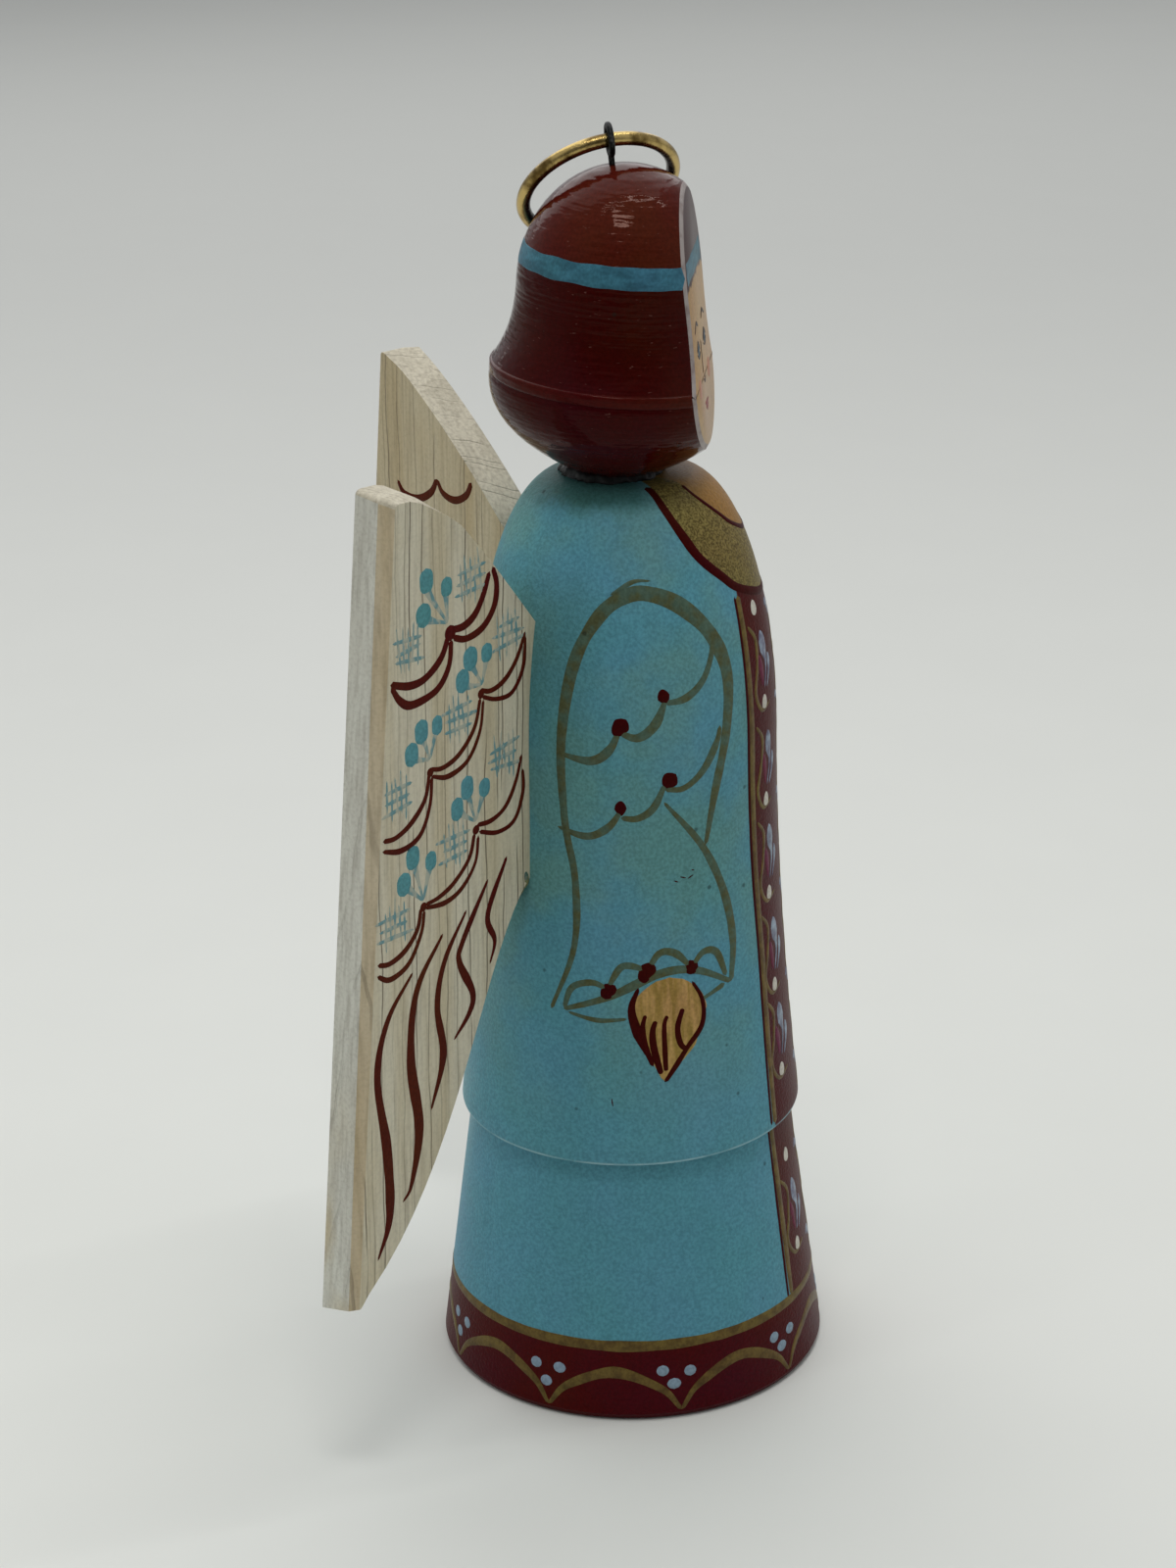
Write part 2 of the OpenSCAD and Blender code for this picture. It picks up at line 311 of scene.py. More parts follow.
for face in bm.faces:
    middle = face.calc_center_median() / MM
    face.material_index = int(middle.z < .05 or middle.xy.length < NECK_SEAT / 2)
robe = piece("robe", bm, robe_paint, bare_wood)
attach(robe, "figure")
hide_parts("body")


# Painting on the robe: sleeves, cuffs, hands, hem and front panel are drawn with small
# brushes in gold, dark red, flesh, white and pale blue. Each stroke stands a little
# proud of the ground coat; both sides of the figure are painted alike.
UP = Vector((0, 0, 1))
PAINT_THICK, DAB_THICK = .05, .07
STROKE_STEP, CURVE_STEPS, WAVER = .3, 9, .14


def heading(turn):
    """The level direction at a turn in degrees from the front towards the right hand."""
    return Vector((-math.sin(math.radians(turn)), -math.cos(math.radians(turn)), 0))


def round_about(radius, turn, height, lift):
    """A place in mm over a turned shape, whose radius at a height is given."""
    slope = (radius(height + .02) - radius(height - .02)) / .04
    away = (heading(turn) - UP * slope).normalized()
    return heading(turn) * radius(height) + UP * height + away * lift


def on_robe(turn, height, lift=0.0):
    return round_about(robe_radius, turn, height, lift) * MM


def drawn(points):
    """A smooth line through a few points, as a brush follows them."""
    spots = [Vector(p) for p in points]
    spots = [2 * spots[0] - spots[1], *spots, 2 * spots[-1] - spots[-2]]
    line = []
    for a, b, c, d in zip(spots, spots[1:], spots[2:], spots[3:]):
        line += interpolate_bezier(b, b + (c - a) / 6, c - (d - b) / 6, c, CURVE_STEPS)[:-1]
    return line + [spots[-2]]


def stroke(bm, lay, points, widths, thick=PAINT_THICK, across=8, rounding=.5):
    """A brush stroke: a flat lens of paint along a drawn line on a surface. lay finds
    a place there; the widths in mm are spread along the line, whose ends are rounded."""
    line = drawn(points)
    run = [0.0]
    for a, b in zip(line, line[1:]):
        run.append(run[-1] + (lay(*b) - lay(*a)).length / MM)
    steps = max(10, round(run[-1] / STROKE_STEP))
    rows = []
    for i in range(steps + 1):
        gone = run[-1] * i / steps
        k = min(bisect_right(run, gone), len(run) - 1)
        u, v = line[k - 1].lerp(line[k], (gone - run[k - 1]) / max(run[k] - run[k - 1], 1e-9))
        along = line[k] - line[k - 1]
        unit_u = (lay(u + .5, v) - lay(u - .5, v)).length / MM
        unit_v = (lay(u, v + .05) - lay(u, v - .05)).length / MM * 10
        ahead = Vector((along.x * unit_u, along.y * unit_v)).normalized()
        share = i / steps * (len(widths) - 1)
        j = min(int(share), len(widths) - 2)
        wide = widths[j] + (widths[j + 1] - widths[j]) * (share - j)
        wide *= 1 + WAVER * noise.noise((gone * .45, points[0][0], points[0][1]))
        end = max(0.0, min(1.0, min(gone, run[-1] - gone) / (wide * rounding)))
        blunt = math.sqrt(1 - (1 - end) ** 2)
        rows.append((u, v, -ahead.y / unit_u, ahead.x / unit_v, wide / 2 * blunt, thick * blunt))
    for vert in bmesh.ops.create_grid(bm, x_segments=steps, y_segments=across, size=.5)["verts"]:
        u, v, side_u, side_v, half, rise = rows[round((vert.co.x + .5) * steps)]
        angle = (vert.co.y + .5) * 2 * math.pi
        aside = half * math.cos(angle)
        vert.co = lay(u + side_u * aside, v + side_v * aside, rise * math.sin(angle))


def dot(bm, lay, u, v, wide, tall):
    """A dab of the brush."""
    unit_v = (lay(u, v + .05) - lay(u, v - .05)).length / MM * 10
    half = tall / 2 / unit_v
    stroke(bm, lay, [(u, v - half), (u, v), (u, v + half)], (wide, wide, wide), DAB_THICK, 10)


def both_sides(bm):
    bmesh.ops.mirror(bm, geom=bm.verts[:] + bm.edges[:] + bm.faces[:], matrix=Matrix(),
                     merge_dist=1e-8, axis="X")
    return bm


def stroke_paint(name, colour, thinned=None, brush=(1, 1, 1), shine=.14, **plain):
    """Paint laid on with a small brush; thinned is its colour where it lies thin, in
    patches drawn out the way the brush went."""
    material, tree, surface = finish(name, Specular_IOR_Level=shine, **plain)
    place = place_in_mm(tree)
    if thinned:
        colour = over(tree, colour, (fade(tree, cloud(tree, place, .9, 3, brush), .34, .66), thinned))
    coat = use(tree, brushed, Place=place, Colour=colour, Streaks=(.7, .7, .7))
    feed(tree, surface, Base_Color=coat["Colour"], Roughness=tally(tree, .24, (coat["Gloss"], .3)),
         Normal=bump(tree, coat["Height"], .03))
    return material


gold_paint = stroke_paint("gold_paint", tint(80, 84, 56), tint(76, 97, 82), Metallic=0.1)
gold_on_red = stroke_paint("gold_on_red", tint(108, 90, 44), tint(86, 68, 34), Metallic=0.1)
red_paint = stroke_paint("red_paint", tint(58, 6, 8), shine=.03)
flesh_paint = stroke_paint("flesh_paint", tint(146, 117, 58), tint(178, 139, 86), (2.4, 2.4, .25))
pale_paint = stroke_paint("pale_paint", tint(132, 152, 168))
leaf_paint = stroke_paint("leaf_paint", tint(146, 160, 176), tint(106, 108, 128))
rose_paint = stroke_paint("rose_paint", tint(104, 46, 66), shine=.05)
white_paint = stroke_paint("white_paint", tint(196, 192, 180))

SLEEVE_GOLD = [
    ([(119.5, 40.2), (110.8, 46.5), (110.4, 53), (114.4, 58.5), (115.6, 66), (111, 73.3), (101, 77.6),
      (89, 79.3), (78, 79.2), (66, 77.9), (54.5, 75.2), (48.2, 71.4), (50.2, 66.2), (56, 60.6),
      (60.5, 55.8)],
     (.35, .55, .7, .72, .72, .85, 1.1, 1.2, 1.2, 1.4, 1.5, 1.25, 1.05, .85, .4)),
    ([(97, 79.3), (87, 80.4), (79, 80.4)], (.25, .45, .15)),
    ([(77, 60.5), (62, 55.8), (53, 51), (49.3, 46.2), (51, 42)], (.3, .65, .9, .9, .6)),
    ([(116, 64.9), (104, 64.5), (97, 65.6), (93, 67.6)], (.35, .75, .9, .4)),
    ([(93, 67.2), (86.5, 66.7), (80, 67.8), (75.6, 70)], (.5, .85, .95, .4)),
    ([(76, 69.7), (68, 69.9), (60.5, 71.1), (55.5, 73.1), (53.2, 75.3)], (.45, .75, .6, .55, .4)),
    ([(117.5, 57.9), (106, 57.3), (98, 58.2), (93, 59.8)], (.3, .7, .8, .4)),
    ([(93.2, 59.2), (87, 59.1), (81, 60), (76.4, 62.2)], (.45, .65, .75, .4)),
    ([(76.7, 61.7), (69, 61.6), (61, 63), (54.8, 65.4), (53.2, 66.8)], (.45, .6, .75, .8, .4)),
    ([(114.5, 40.5), (111.5, 42.6), (104, 43.3), (98, 42.7)], (.4, .65, .7, .4)),
    ([(98, 43), (93.5, 44.9), (88, 44.9), (84.3, 44.3)], (.4, .65, .7, .4)),
    ([(84.3, 44.4), (79.5, 46.1), (73.5, 45.9), (67.6, 44.3)], (.4, .65, .7, .4)),
    ([(67.4, 44.4), (62.5, 45.6), (57, 45.2), (53.2, 42.7)], (.4, .65, .7, .5)),
    ([(114.7, 40.4), (98, 42), (80, 44.1), (66, 44), (51, 42)], (.4, .75, .85, .75, .45)),
    ([(113, 40.2), (102, 39.7), (91.5, 39.9)], (.25, .5, .25)),
    ([(64.5, 41), (54, 42)], (.3, .55)),
]
KNOTS = [(93, 67.7), (76.4, 70.3), (93.2, 60.1), (74.6, 62.5), (98, 42.5), (84.3, 44.3), (67.5, 44.3)]
HAND = [(76, 43.7), (76.2, 41), (76.6, 38.4), (77.6, 36), (78.7, 33.7)]
HAND_WIDTHS = (5.4, 6.7, 6.9, 6.3, 4.9, 2.6, .4)
HAND_RED = [
    ([(67.6, 43), (63.8, 41), (64.2, 38.7), (70, 36.8), (75, 35), (78.8, 33.6)],
     (.3, .5, .55, .65, .65, .45)),
    ([(87.3, 42.9), (89.8, 41), (88.2, 38.9), (84, 36.2)], (.3, .8, 1.1, .5)),
    ([(84.8, 40.4), (86, 39.2), (85.3, 37.4), (82.6, 35.2)], (.4, .6, .7, .4)),
    ([(81.2, 39.8), (82.6, 38.6), (82.1, 36.8), (79.6, 34.3)], (.5, .8, .85, .5)),
    ([(76.8, 40.2), (78.4, 39.2), (78.4, 36.6), (78.2, 34.5)], (.5, .65, .7, .5)),
    ([(71.3, 40.7), (73.6, 38.8), (72.8, 37.2), (70.6, 36.5)], (.55, .75, .8, .6)),
]
SCUFFS = [[(73.6, 52.9), (71.8, 52.7)], [(71.2, 53.2), (68.8, 53)], [(68.2, 52.9), (65.8, 53.2)],
          [(66.6, 53.7), (65.4, 53.6)], [(97, 32.2), (96.6, 31.4)]]
PANEL_BORDERS = [[(30, 7.8), (30, 16), (30, 25.4)],
                 [(33, 26.1), (32.8, 42), (34.6, 52), (35.5, 62), (35.5, 77.6)]]
COLLAR_LINE = [(71, 87.28), (68.6, 86.9), (65.6, 85.8), (59.3, 83.6), (53, 81.6), (42.4, 79.6),
               (33.6, 78.2), (15.5, 76.8)]
COLLAR_FRONT, NECK_END, BORDER_APART = (0, 76.4), (41, 87.1), 2.2

bm = bmesh.new()
for points, widths in SLEEVE_GOLD:
    stroke(bm, on_robe, points, widths)
sleeve_lines = piece("sleeve_gold_lines", both_sides(bm), gold_paint)

bm = bmesh.new()
for turn, z in KNOTS:
    tilt = noise.noise((turn, z, .3))
    stroke(bm, on_robe, [(turn - 2.4, z + .3 + tilt), (turn, z), (turn + 2.2, z - .4 - tilt)],
           (.8, 1.6, 1.3, .7), DAB_THICK, across=10)
for points, widths in HAND_RED:
    stroke(bm, on_robe, points, widths, thick=.09)
both_sides(bm)
for points in SCUFFS:
    stroke(bm, on_robe, points, (.06, .14, .06), thick=.02)
collar_rim = [*COLLAR_LINE, COLLAR_FRONT, *((-turn, z) for turn, z in reversed(COLLAR_LINE))]
stroke(bm, on_robe, collar_rim, (.7, .9, .8, .7, .8, .9, .7), DAB_THICK)
neck_side = [NECK_END, *NECKLINE[3:0:-1]]
neck_rim = [*neck_side, NECKLINE[0], *((-turn, z) for turn, z in reversed(neck_side))]
stroke(bm, on_robe, neck_rim, (.35, .45, .5, .45, .35))
for edge in PANEL_BORDERS:
    for side in (-1, 1):
        beside = [(side * (turn + BORDER_APART), z) for turn, z in edge]
        stroke(bm, on_robe, beside, (.35, .4, .45, .4, .35))
red_marks = piece("robe_red_marks", bm, red_paint)

bm = bmesh.new()
stroke(bm, on_robe, HAND, HAND_WIDTHS, thick=.06, across=28)
hands = piece("hand_flesh", both_sides(bm), flesh_paint)

# Hem and panel edges: gold lines, nine gold arches, three pale dots over each point.
HEM_ARCHES, FIRST_POINT = 9, 36.5
ARCH, ARCH_BEND = 360 / HEM_ARCHES, 6
ARCH_FOOT, ARCH_SIDE, ARCH_CROWN = .9, 3.2, 4.9
HEM_DOTS, DOT_WIDE, DOT_TALL = [(-2.9, 4.8), (5.4, 5.0), (1.6, 3.4)], 1.3, 1.1
bm, dabs = bmesh.new(), bmesh.new()
stroke(bm, on_robe, [(turn, HEM_TOP + .1) for turn in range(-180, 181, 15)], (.8, 1.05, .75, 1.1, .8))
for edge in PANEL_BORDERS:
    for side in (-1, 1):
        stroke(bm, on_robe, [(side * turn, z) for turn, z in edge], (.7, .85, .75, .85, .7))
for i in range(HEM_ARCHES):
    point = FIRST_POINT + ARCH * i
    stroke(bm, on_robe, [(point, ARCH_FOOT), (point + ARCH_BEND, ARCH_SIDE), (point + ARCH / 2, ARCH_CROWN),
                         (point + ARCH - ARCH_BEND, ARCH_SIDE), (point + ARCH, ARCH_FOOT)],
           (.35, .85, 1.15, .85, .35))
    for aside, z in HEM_DOTS:
        shaken = noise.noise((point, aside, z))
        dot(dabs, on_robe, point + aside + shaken, z + .5 * shaken, DOT_WIDE + .3 * shaken, DOT_TALL)
hem_lines = piece("hem_gold_arches", bm, gold_on_red)
hem_dots = piece("hem_pale_dots", dabs, pale_paint)

# Panel: a garland of white drops and pale leaves along each side, on gold vines.
GARLAND = (75.8, 67, 57.6, 48.4, 39.2, 30.6, 21.2, 11.9)
SKIRT_EDGE, TUNIC_EDGE, GARLAND_IN, SPRAY_TOP, STEP_ROOM = 30, 33.5, 9, 74, 8
white, leaves, rose, vine = (bmesh.new() for _ in range(4))
SPRAY = [
    (leaves, [(-2, 6.6), (-3, 5), (-4, 3.4), (-1, 1.3)], (.5, 1.4, 1.5, .6, .25, .2, .15)),
    (leaves, [(-7.4, 4.2), (-7.6, 3), (-3.4, 1.2)], (.4, .9, .5, .2, .15)),
    (rose, [(2, 4.6), (.6, 3), (.6, 1.5)], (.25, .9, .7, .2)),
    (vine, [(8, 7.6), (3, 6), (4.5, 3.4), (7, 1.2), (2.5, -.6), (-6, -.2)], (.3, .5, .45, .5, .4, .2)),
]
MIDDLE_VINES, VINE_BEND, VINE_SWING = [(9.2, 25.2), (26.4, 75.2)], 4.6, 5.5
for z in GARLAND:
    inset = (SKIRT_EDGE if z < STEP else TUNIC_EDGE) - GARLAND_IN
    stroke(white, on_robe, [(inset, z + .75), (inset, z), (inset, z - .7)], (.5, 1, 1.15, 1), DAB_THICK)
    if z < SPRAY_TOP and not STEP - STEP_ROOM < z < STEP:
        for layer, points, widths in SPRAY:
            stroke(layer, on_robe, [(inset + aside, z + up) for aside, up in points], widths)
    stroke(leaves, on_robe, [(2, z - 2.2), (6, z - .6), (10, z - .8)], (.2, .8, .2))
for low, high in MIDDLE_VINES:
    turns = round((high - low) / VINE_BEND)
    stroke(vine, on_robe, [(VINE_SWING * (-1) ** k, low + (high - low) * k / turns)
                           for k in range(turns + 1)], (.3, .45, .45, .3))
both_sides(white)
for z in GARLAND:
    dot(white, on_robe, 0, min(z + 3.6, SPRAY_TOP), .8, 1.1)
pale_leaves = piece("panel_pale_leaves", both_sides(leaves), leaf_paint)
rose_strokes = piece("panel_rose_strokes", both_sides(rose), rose_paint)
white_dots = piece("panel_white_drops", white, white_paint)
vine_lines = piece("panel_gold_vine", both_sides(vine), gold_on_red)
for painted in (sleeve_lines, red_marks, hands, hem_lines, hem_dots, pale_leaves, rose_strokes, white_dots,
                vine_lines):
    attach(painted, "figure")


# Neck dowel and glue: a lime wood dowel joins head and robe inside the neck, out of
# sight. The glue that came out round the neck dried ragged. It is coloured near black,
# partly the glue's own dark colour and partly painted shade of the narrow gap under the head.
HEAD_BACK, HEAD_NOD, NECK_HEIGHT = 1.1, 4.5, 87.895
BEAD = [(3.4, 87.15), (4.4, 87.1), (4.6, 87.3), (4.55, 87.6), (4.35, 88), (3.4, 88.2), (3.4, 87.15)]
BEAD_STEPS, RAGGED_FROM = 96, 4

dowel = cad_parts["neck_dowel"]
dowel.data.materials.clear()
dowel.data.materials.append(bare_wood)


def lumpy(name, scale, detail, spread, colours, rough, depth, **plain):
    """A finish in two colours, whose gloss and relief follow the same soft lumps."""
    material, tree, surface = finish(name, **plain)
    lumps = cloud(tree, place_in_mm(tree), scale, detail)
    feed(tree, surface, Base_Color=over(tree, colours[0], (fade(tree, lumps, *spread), colours[1])),
         Roughness=fade(tree, lumps, *rough), Normal=bump(tree, lumps, depth))
    return material


# Near black: partly the glue's colour, partly painted shade of the gap under the head.
dark_glue = lumpy("dark_glue", 1.1, 4, (.45, .62), (tint(10, 10, 9), tint(22, 25, 24)), (-.2, 1.1), .12,
                  Specular_IOR_Level=0.4)
bm = turned(BEAD, BEAD_STEPS)
bmesh.ops.subdivide_edges(bm, edges=bm.edges, cuts=1, use_grid_fill=True)
for vert in bm.verts:
    if vert.co.xy.length > RAGGED_FROM * MM:
        vert.co.xy *= 1 + .09 * noise.noise(vert.co / MM * .9) + .05 * noise.noise(vert.co / MM * 2.9)
bmesh.ops.translate(bm, verts=bm.verts, vec=(0, HEAD_BACK * MM, 0))
bead = piece("neck_glue_bead", bm, dark_glue, sharp=180)
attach(bead, "figure")
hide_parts("neck_glue")


# Head: head and hair are one turned block of lime wood, with a bowl, a narrow rim band,
# a flare and a dome, and the front sawn off flat for the face. It is painted dark
# maroon and varnished; the corner round the face is worn to a pale grey line.
HEAD_TALL, NECK, DOME, DOME_LOW = 27.0, 4.4, 9.45, 16.5
RIM, RIM_LOW, RIM_TOP, RIM_LIP = 11.4, 8.1, 9.1, .16
RIM_UNDER, RIM_OVER = [(.08, 0), (0, .12)], [(0, -.14), (.03, -.05), (.1, .02), (.2, .06)]
BOWL_FULL, BOWL_STEP, FLARE_HOLLOW, FLARE_FROM, FLARE_STEP = 2.4, .3, 2.6, .2, .45
FACE_OUT, FACE_LEAN, FACE_TURN = 9.28, 9.9, 7.0
WORN_WIDE, WORN_DEPTH, CUT_WELD = .46, .3, .08
HAIRLINE, BAND_MIDDLE, BAND_WIDE, BAND_THICK, BAND_END = 17.6, 18.95, 2.0, .035, .6
HAIR, HAIR_PAINTED_LIGHT = tint(53, 6, 2), tint(72, 24, 13)
HAIR_SCUFF, HAIR_SHINE = tint(128, 92, 84), (1, .62, .5, 1)
BAND_BLUE, BAND_THIN = tint(60, 112, 130), tint(48, 92, 108)
SKIN, SKIN_CRACK = tint(178, 142, 90), tint(120, 90, 62)
WORN_DARK, WORN_PALE = tint(108, 88, 84), tint(156, 146, 142)


def moved(*by):
    return Matrix.Translation(by)


def rotated(degrees, axis):
    return Matrix.Rotation(math.radians(degrees), 4, axis)


to_metres = Matrix.Scale(MM, 4)
in_head = moved(0, HEAD_BACK, NECK_HEIGHT) @ rotated(HEAD_NOD, "X")
face_ahead, face_slope = heading(FACE_TURN), math.tan(math.radians(FACE_LEAN))
face_aside = UP.cross(face_ahead)
face_normal = (face_ahead + UP * face_slope).normalized()


def head_radius(up):
    """How thick the turned head is at a height along its own axis."""
    if up < RIM_LOW:
        return NECK + (RIM - NECK) * (1 - (1 - up / RIM_LOW) ** BOWL_FULL)
    if up < RIM_TOP:
        return RIM
    if up < DOME_LOW:
        down = 1 - (up - RIM_TOP) / (DOME_LOW - RIM_TOP)
        return DOME + (RIM - RIM_LIP - DOME) * down ** FLARE_HOLLOW
    return DOME * math.sqrt(max(0.0, 1 - ((up - DOME_LOW) / (HEAD_TALL - DOME_LOW)) ** 2))


def on_head(turn, up, lift=0.0):
    return in_head @ round_about(head_radius, turn, up, lift) * MM


def on_face(aside, up, lift=0.0):
    """A place on the flat face, aside towards the figure's left, up the head's axis."""
    flat = face_ahead * (FACE_OUT - face_slope * up) + face_aside * aside + UP * up
    return in_head @ (flat + face_normal * lift) * MM


def up_the_head(tree, place):
    """How far a place is up the head's own axis."""
    foot = reckon_vector(tree, "SUBTRACT", place, in_head.translation)
    return reckon_vector(tree, "DOT_PRODUCT", foot, in_head.to_3x3() @ UP)


hair_paint, tree, surface = finish("hair_paint", Specular_IOR_Level=0.1, Specular_Tint=HAIR_SHINE)
place = place_in_mm(tree)
at_up = up_the_head(tree, place)
# Painted light: the hair is painted a lighter, warmer maroon above the headband, where light from above
# falls, and as a painted highlight on the rim band.
crown = fade(tree, at_up, BAND_MIDDLE - .5, BAND_MIDDLE + .5)
rim_band = times(tree, fade(tree, at_up, RIM_LOW - .1, RIM_LOW + .2),
                 fade(tree, at_up, RIM_TOP + .3, RIM_TOP - .1), .6)
hair = over(tree, HAIR, (reckon(tree, "MAXIMUM", crown, rim_band), HAIR_PAINTED_LIGHT))
coat = use(tree, brushed, Place=place, Colour=hair, Streaks=(.2, .2, 1.4))
scuffs = times(tree, fade(tree, cloud(tree, place, 1.9, 2, (.6, .6, 2.2)), .70, .76), .35)
tool_marks = cloud(tree, add(tree, "CombineXYZ", {2: at_up}).outputs[0], 2.2, 1)
ridges = cloud(tree, place, .6, 1, (1, 1, 3))
relief = tally(tree, times(tree, tool_marks, 1.3), (ridges, 1.3), (coat["Height"], .1))
feed(tree, surface, Base_Color=over(tree, coat["Colour"], (scuffs, HAIR_SCUFF)),
     Roughness=tally(tree, .02, (coat["Gloss"], .12)), Normal=bump(tree, relief, .06))

face_paint, tree, surface = finish("face_paint")
place = place_in_mm(tree)
wood = use(tree, grain, Place=place)
ragged = tally(tree, up_the_head(tree, place), (cloud(tree, place, .8), 1.6))
colour = over(tree, SKIN, (times(tree, wood["Crack"], .5), SKIN_CRACK),
              (fade(tree, ragged, HAIRLINE + .7, HAIRLINE + .95), HAIR))
coat = use(tree, brushed, Place=place, Colour=colour, Streaks=(.8, .8, .1))
feed(tree, surface, Base_Color=coat["Colour"], Roughness=tally(tree, .25, (coat["Gloss"], .25)),
     Normal=bump(tree, wood["Height"], .03))

worn_edge, tree, surface = finish("worn_edge", Roughness=0.5)
rubbed = fade(tree, cloud(tree, place_in_mm(tree), .8, 4), .2, .6)
feed(tree, surface, Base_Color=over(tree, WORN_DARK, (rubbed, WORN_PALE)), Normal=bump(tree, rubbed, .05))

outline = [(0, DOWEL_DEPTH), (DOWEL_HOLE, DOWEL_DEPTH), (DOWEL_HOLE, 0), (NECK, 0)]
outline += [(head_radius(i * BOWL_STEP), i * BOWL_STEP) for i in range(1, 27)]
for level, corner in (RIM_LOW, RIM_UNDER), (RIM_TOP, RIM_OVER):
    outline += [(RIM - inset, level + up) for inset, up in corner]
outline += [(head_radius(up), up) for up in (RIM_TOP + FLARE_FROM + i * FLARE_STEP for i in range(17))]
for degrees in range(ARC_STEP, 91, ARC_STEP):
    up = DOME_LOW + (HEAD_TALL - DOME_LOW) * math.sin(math.radians(degrees))
    outline.append((head_radius(up) if degrees < 90 else 0, up))
bm = turned(outline)
bmesh.ops.transform(bm, matrix=to_metres @ in_head @ to_metres.inverted(), verts=bm.verts)
cut = bmesh.ops.bisect_plane(bm, geom=bm.verts[:] + bm.edges[:] + bm.faces[:], dist=WELD,
                             plane_co=on_face(0, 0, -WORN_DEPTH),
                             plane_no=in_head.to_3x3() @ face_normal, clear_outer=True)
bmesh.ops.remove_doubles(bm, verts=[g for g in cut["geom_cut"] if isinstance(g, bmesh.types.BMVert)],
                         dist=CUT_WELD * MM)
face_flat = bmesh.ops.contextual_create(bm, geom=[e for e in bm.edges if e.is_boundary])["faces"]
for face in face_flat:
    face.material_index = 1
worn_strip = bmesh.ops.inset_region(bm, faces=face_flat, thickness=WORN_WIDE * MM, depth=WORN_DEPTH * MM,
                                    use_even_offset=True)["faces"]
for face in worn_strip:
    face.material_index = 2
head = piece("turned_head", bm, hair_paint, face_paint, worn_edge)
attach(head, "figure")
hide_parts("head")

# The blue headband and a calm doll's face, painted on with small brushes.
band_paint = stroke_paint("band_paint", BAND_BLUE, BAND_THIN, (.5, .5, 1.6))
line_paint = stroke_paint("line_paint", tint(48, 26, 18))
iris_paint = stroke_paint("iris_paint", tint(58, 84, 100))
lip_paint = stroke_paint("lip_paint", tint(134, 58, 48))
blush_paint = stroke_paint("blush_paint", tint(180, 124, 92))
reach = math.degrees(math.acos((FACE_OUT - face_slope * BAND_MIDDLE) / head_radius(BAND_MIDDLE)))
from_turn, to_turn = FACE_TURN + reach + BAND_END, FACE_TURN - reach - BAND_END + 360
band_round = [(from_turn + (to_turn - from_turn) * i / 12, BAND_MIDDLE) for i in range(13)]
band_across = [(aside, BAND_MIDDLE) for aside in (-6.2, 0, 6.2)]
bm = bmesh.new()
for lay, points, shares in (on_head, band_round, (1, .92, 1.05, 1)), (on_face, band_across, (1, .95, 1)):
    stroke(bm, lay, points, [BAND_WIDE * share for share in shares], BAND_THICK, across=20, rounding=.08)
headband = piece("headband", bm, band_paint)

EYE_UP, EYE_ASIDE, EYE_LONG = 11.6, 2.7, 2.5
lines, irises, lips, blush = (bmesh.new() for _ in range(4))
for side in (-1, 1):
    middle = side * EYE_ASIDE
    inner, outer = middle - side * EYE_LONG / 2, middle + side * EYE_LONG / 2
    brow = [(inner - side * .1, EYE_UP + 1.9), (middle, EYE_UP + 2.5), (outer + side * .4, EYE_UP + 1.8)]
    upper_lid = [(inner, EYE_UP - .1), (middle, EYE_UP + .75), (outer, EYE_UP + .1)]
    lower_lid = [(inner, EYE_UP - .2), (middle, EYE_UP - .6), (outer, EYE_UP)]
    stroke(lines, on_face, upper_lid, (.2, .45, .3))
    stroke(lines, on_face, lower_lid, (.1, .2, .15))
    stroke(lines, on_face, brow, (.2, .4, .15))
    dot(lines, on_face, middle, EYE_UP + .05, .5, .5)
    dot(irises, on_face, middle, EYE_UP + .05, 1.05, 1.15)
    dot(blush, on_face, side * 4.1, EYE_UP - 3.0, 2.2, 1.9)
stroke(lines, on_face, [(-.75, EYE_UP - 2.9), (0, EYE_UP - 3.25), (.75, EYE_UP - 2.9)], (.15, .3, .15))
stroke(lines, on_face, [(-.5, EYE_UP + .6), (-.7, EYE_UP - 1.2), (-.75, EYE_UP - 2.5)], (.1, .2, .12))
stroke(lips, on_face, [(-1.3, EYE_UP - 5), (0, EYE_UP - 5.15), (1.3, EYE_UP - 5)], (.2, .6, .2))
stroke(lips, on_face, [(-.9, EYE_UP - 5.3), (0, EYE_UP - 5.6), (.9, EYE_UP - 5.3)], (.15, .6, .15))
face_lines = piece("face_lines", lines, line_paint)
eyes = piece("eyes", irises, iris_paint)
mouth = piece("mouth", lips, lip_paint)
cheeks = piece("cheeks", blush, blush_paint)
for painted in headband, face_lines, eyes, mouth, cheeks:
    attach(painted, "figure")


# Wings: each is sawn from 3.8 mm board with the grain upright and let into a slot in
# the robe's back, and its outer front corner is planed off. A thin off-white wash lets
# grain and drying cracks show; feathers are drawn on in red-brown and blue.
WING_TURN, WING_THICK, WING_SET = 52.0, 3.8, .45
WING_TOP, WING_LOW, WING_REACH, WING_REACH_LOW = 92.4, 18.4, 30.6, 39.2
ROOT_TOP, ROOT_LOW, ROOT_FALL, SLOT_DEPTH = 76.6, 52.2, 2.4, 1.8
RIDGE, RIDGE_WIDE, RIDGE_DEPTH, RIDGE_DEPTH_LOW, BACK_PLANED = .8, 2.5, 1.25, .6, .1
TIP_FALL, FALL_FROM, FALL_WHOLE, TIP_PART = .85, 22.3, 26.0, .2
TOE_FALL, TOE_PART, TOE_WHOLE = .7, .9, .97
LEFT_ROOT_HIGHER, LEFT_HIGHER, BOARD_BEVEL = 2.2, .5, .28
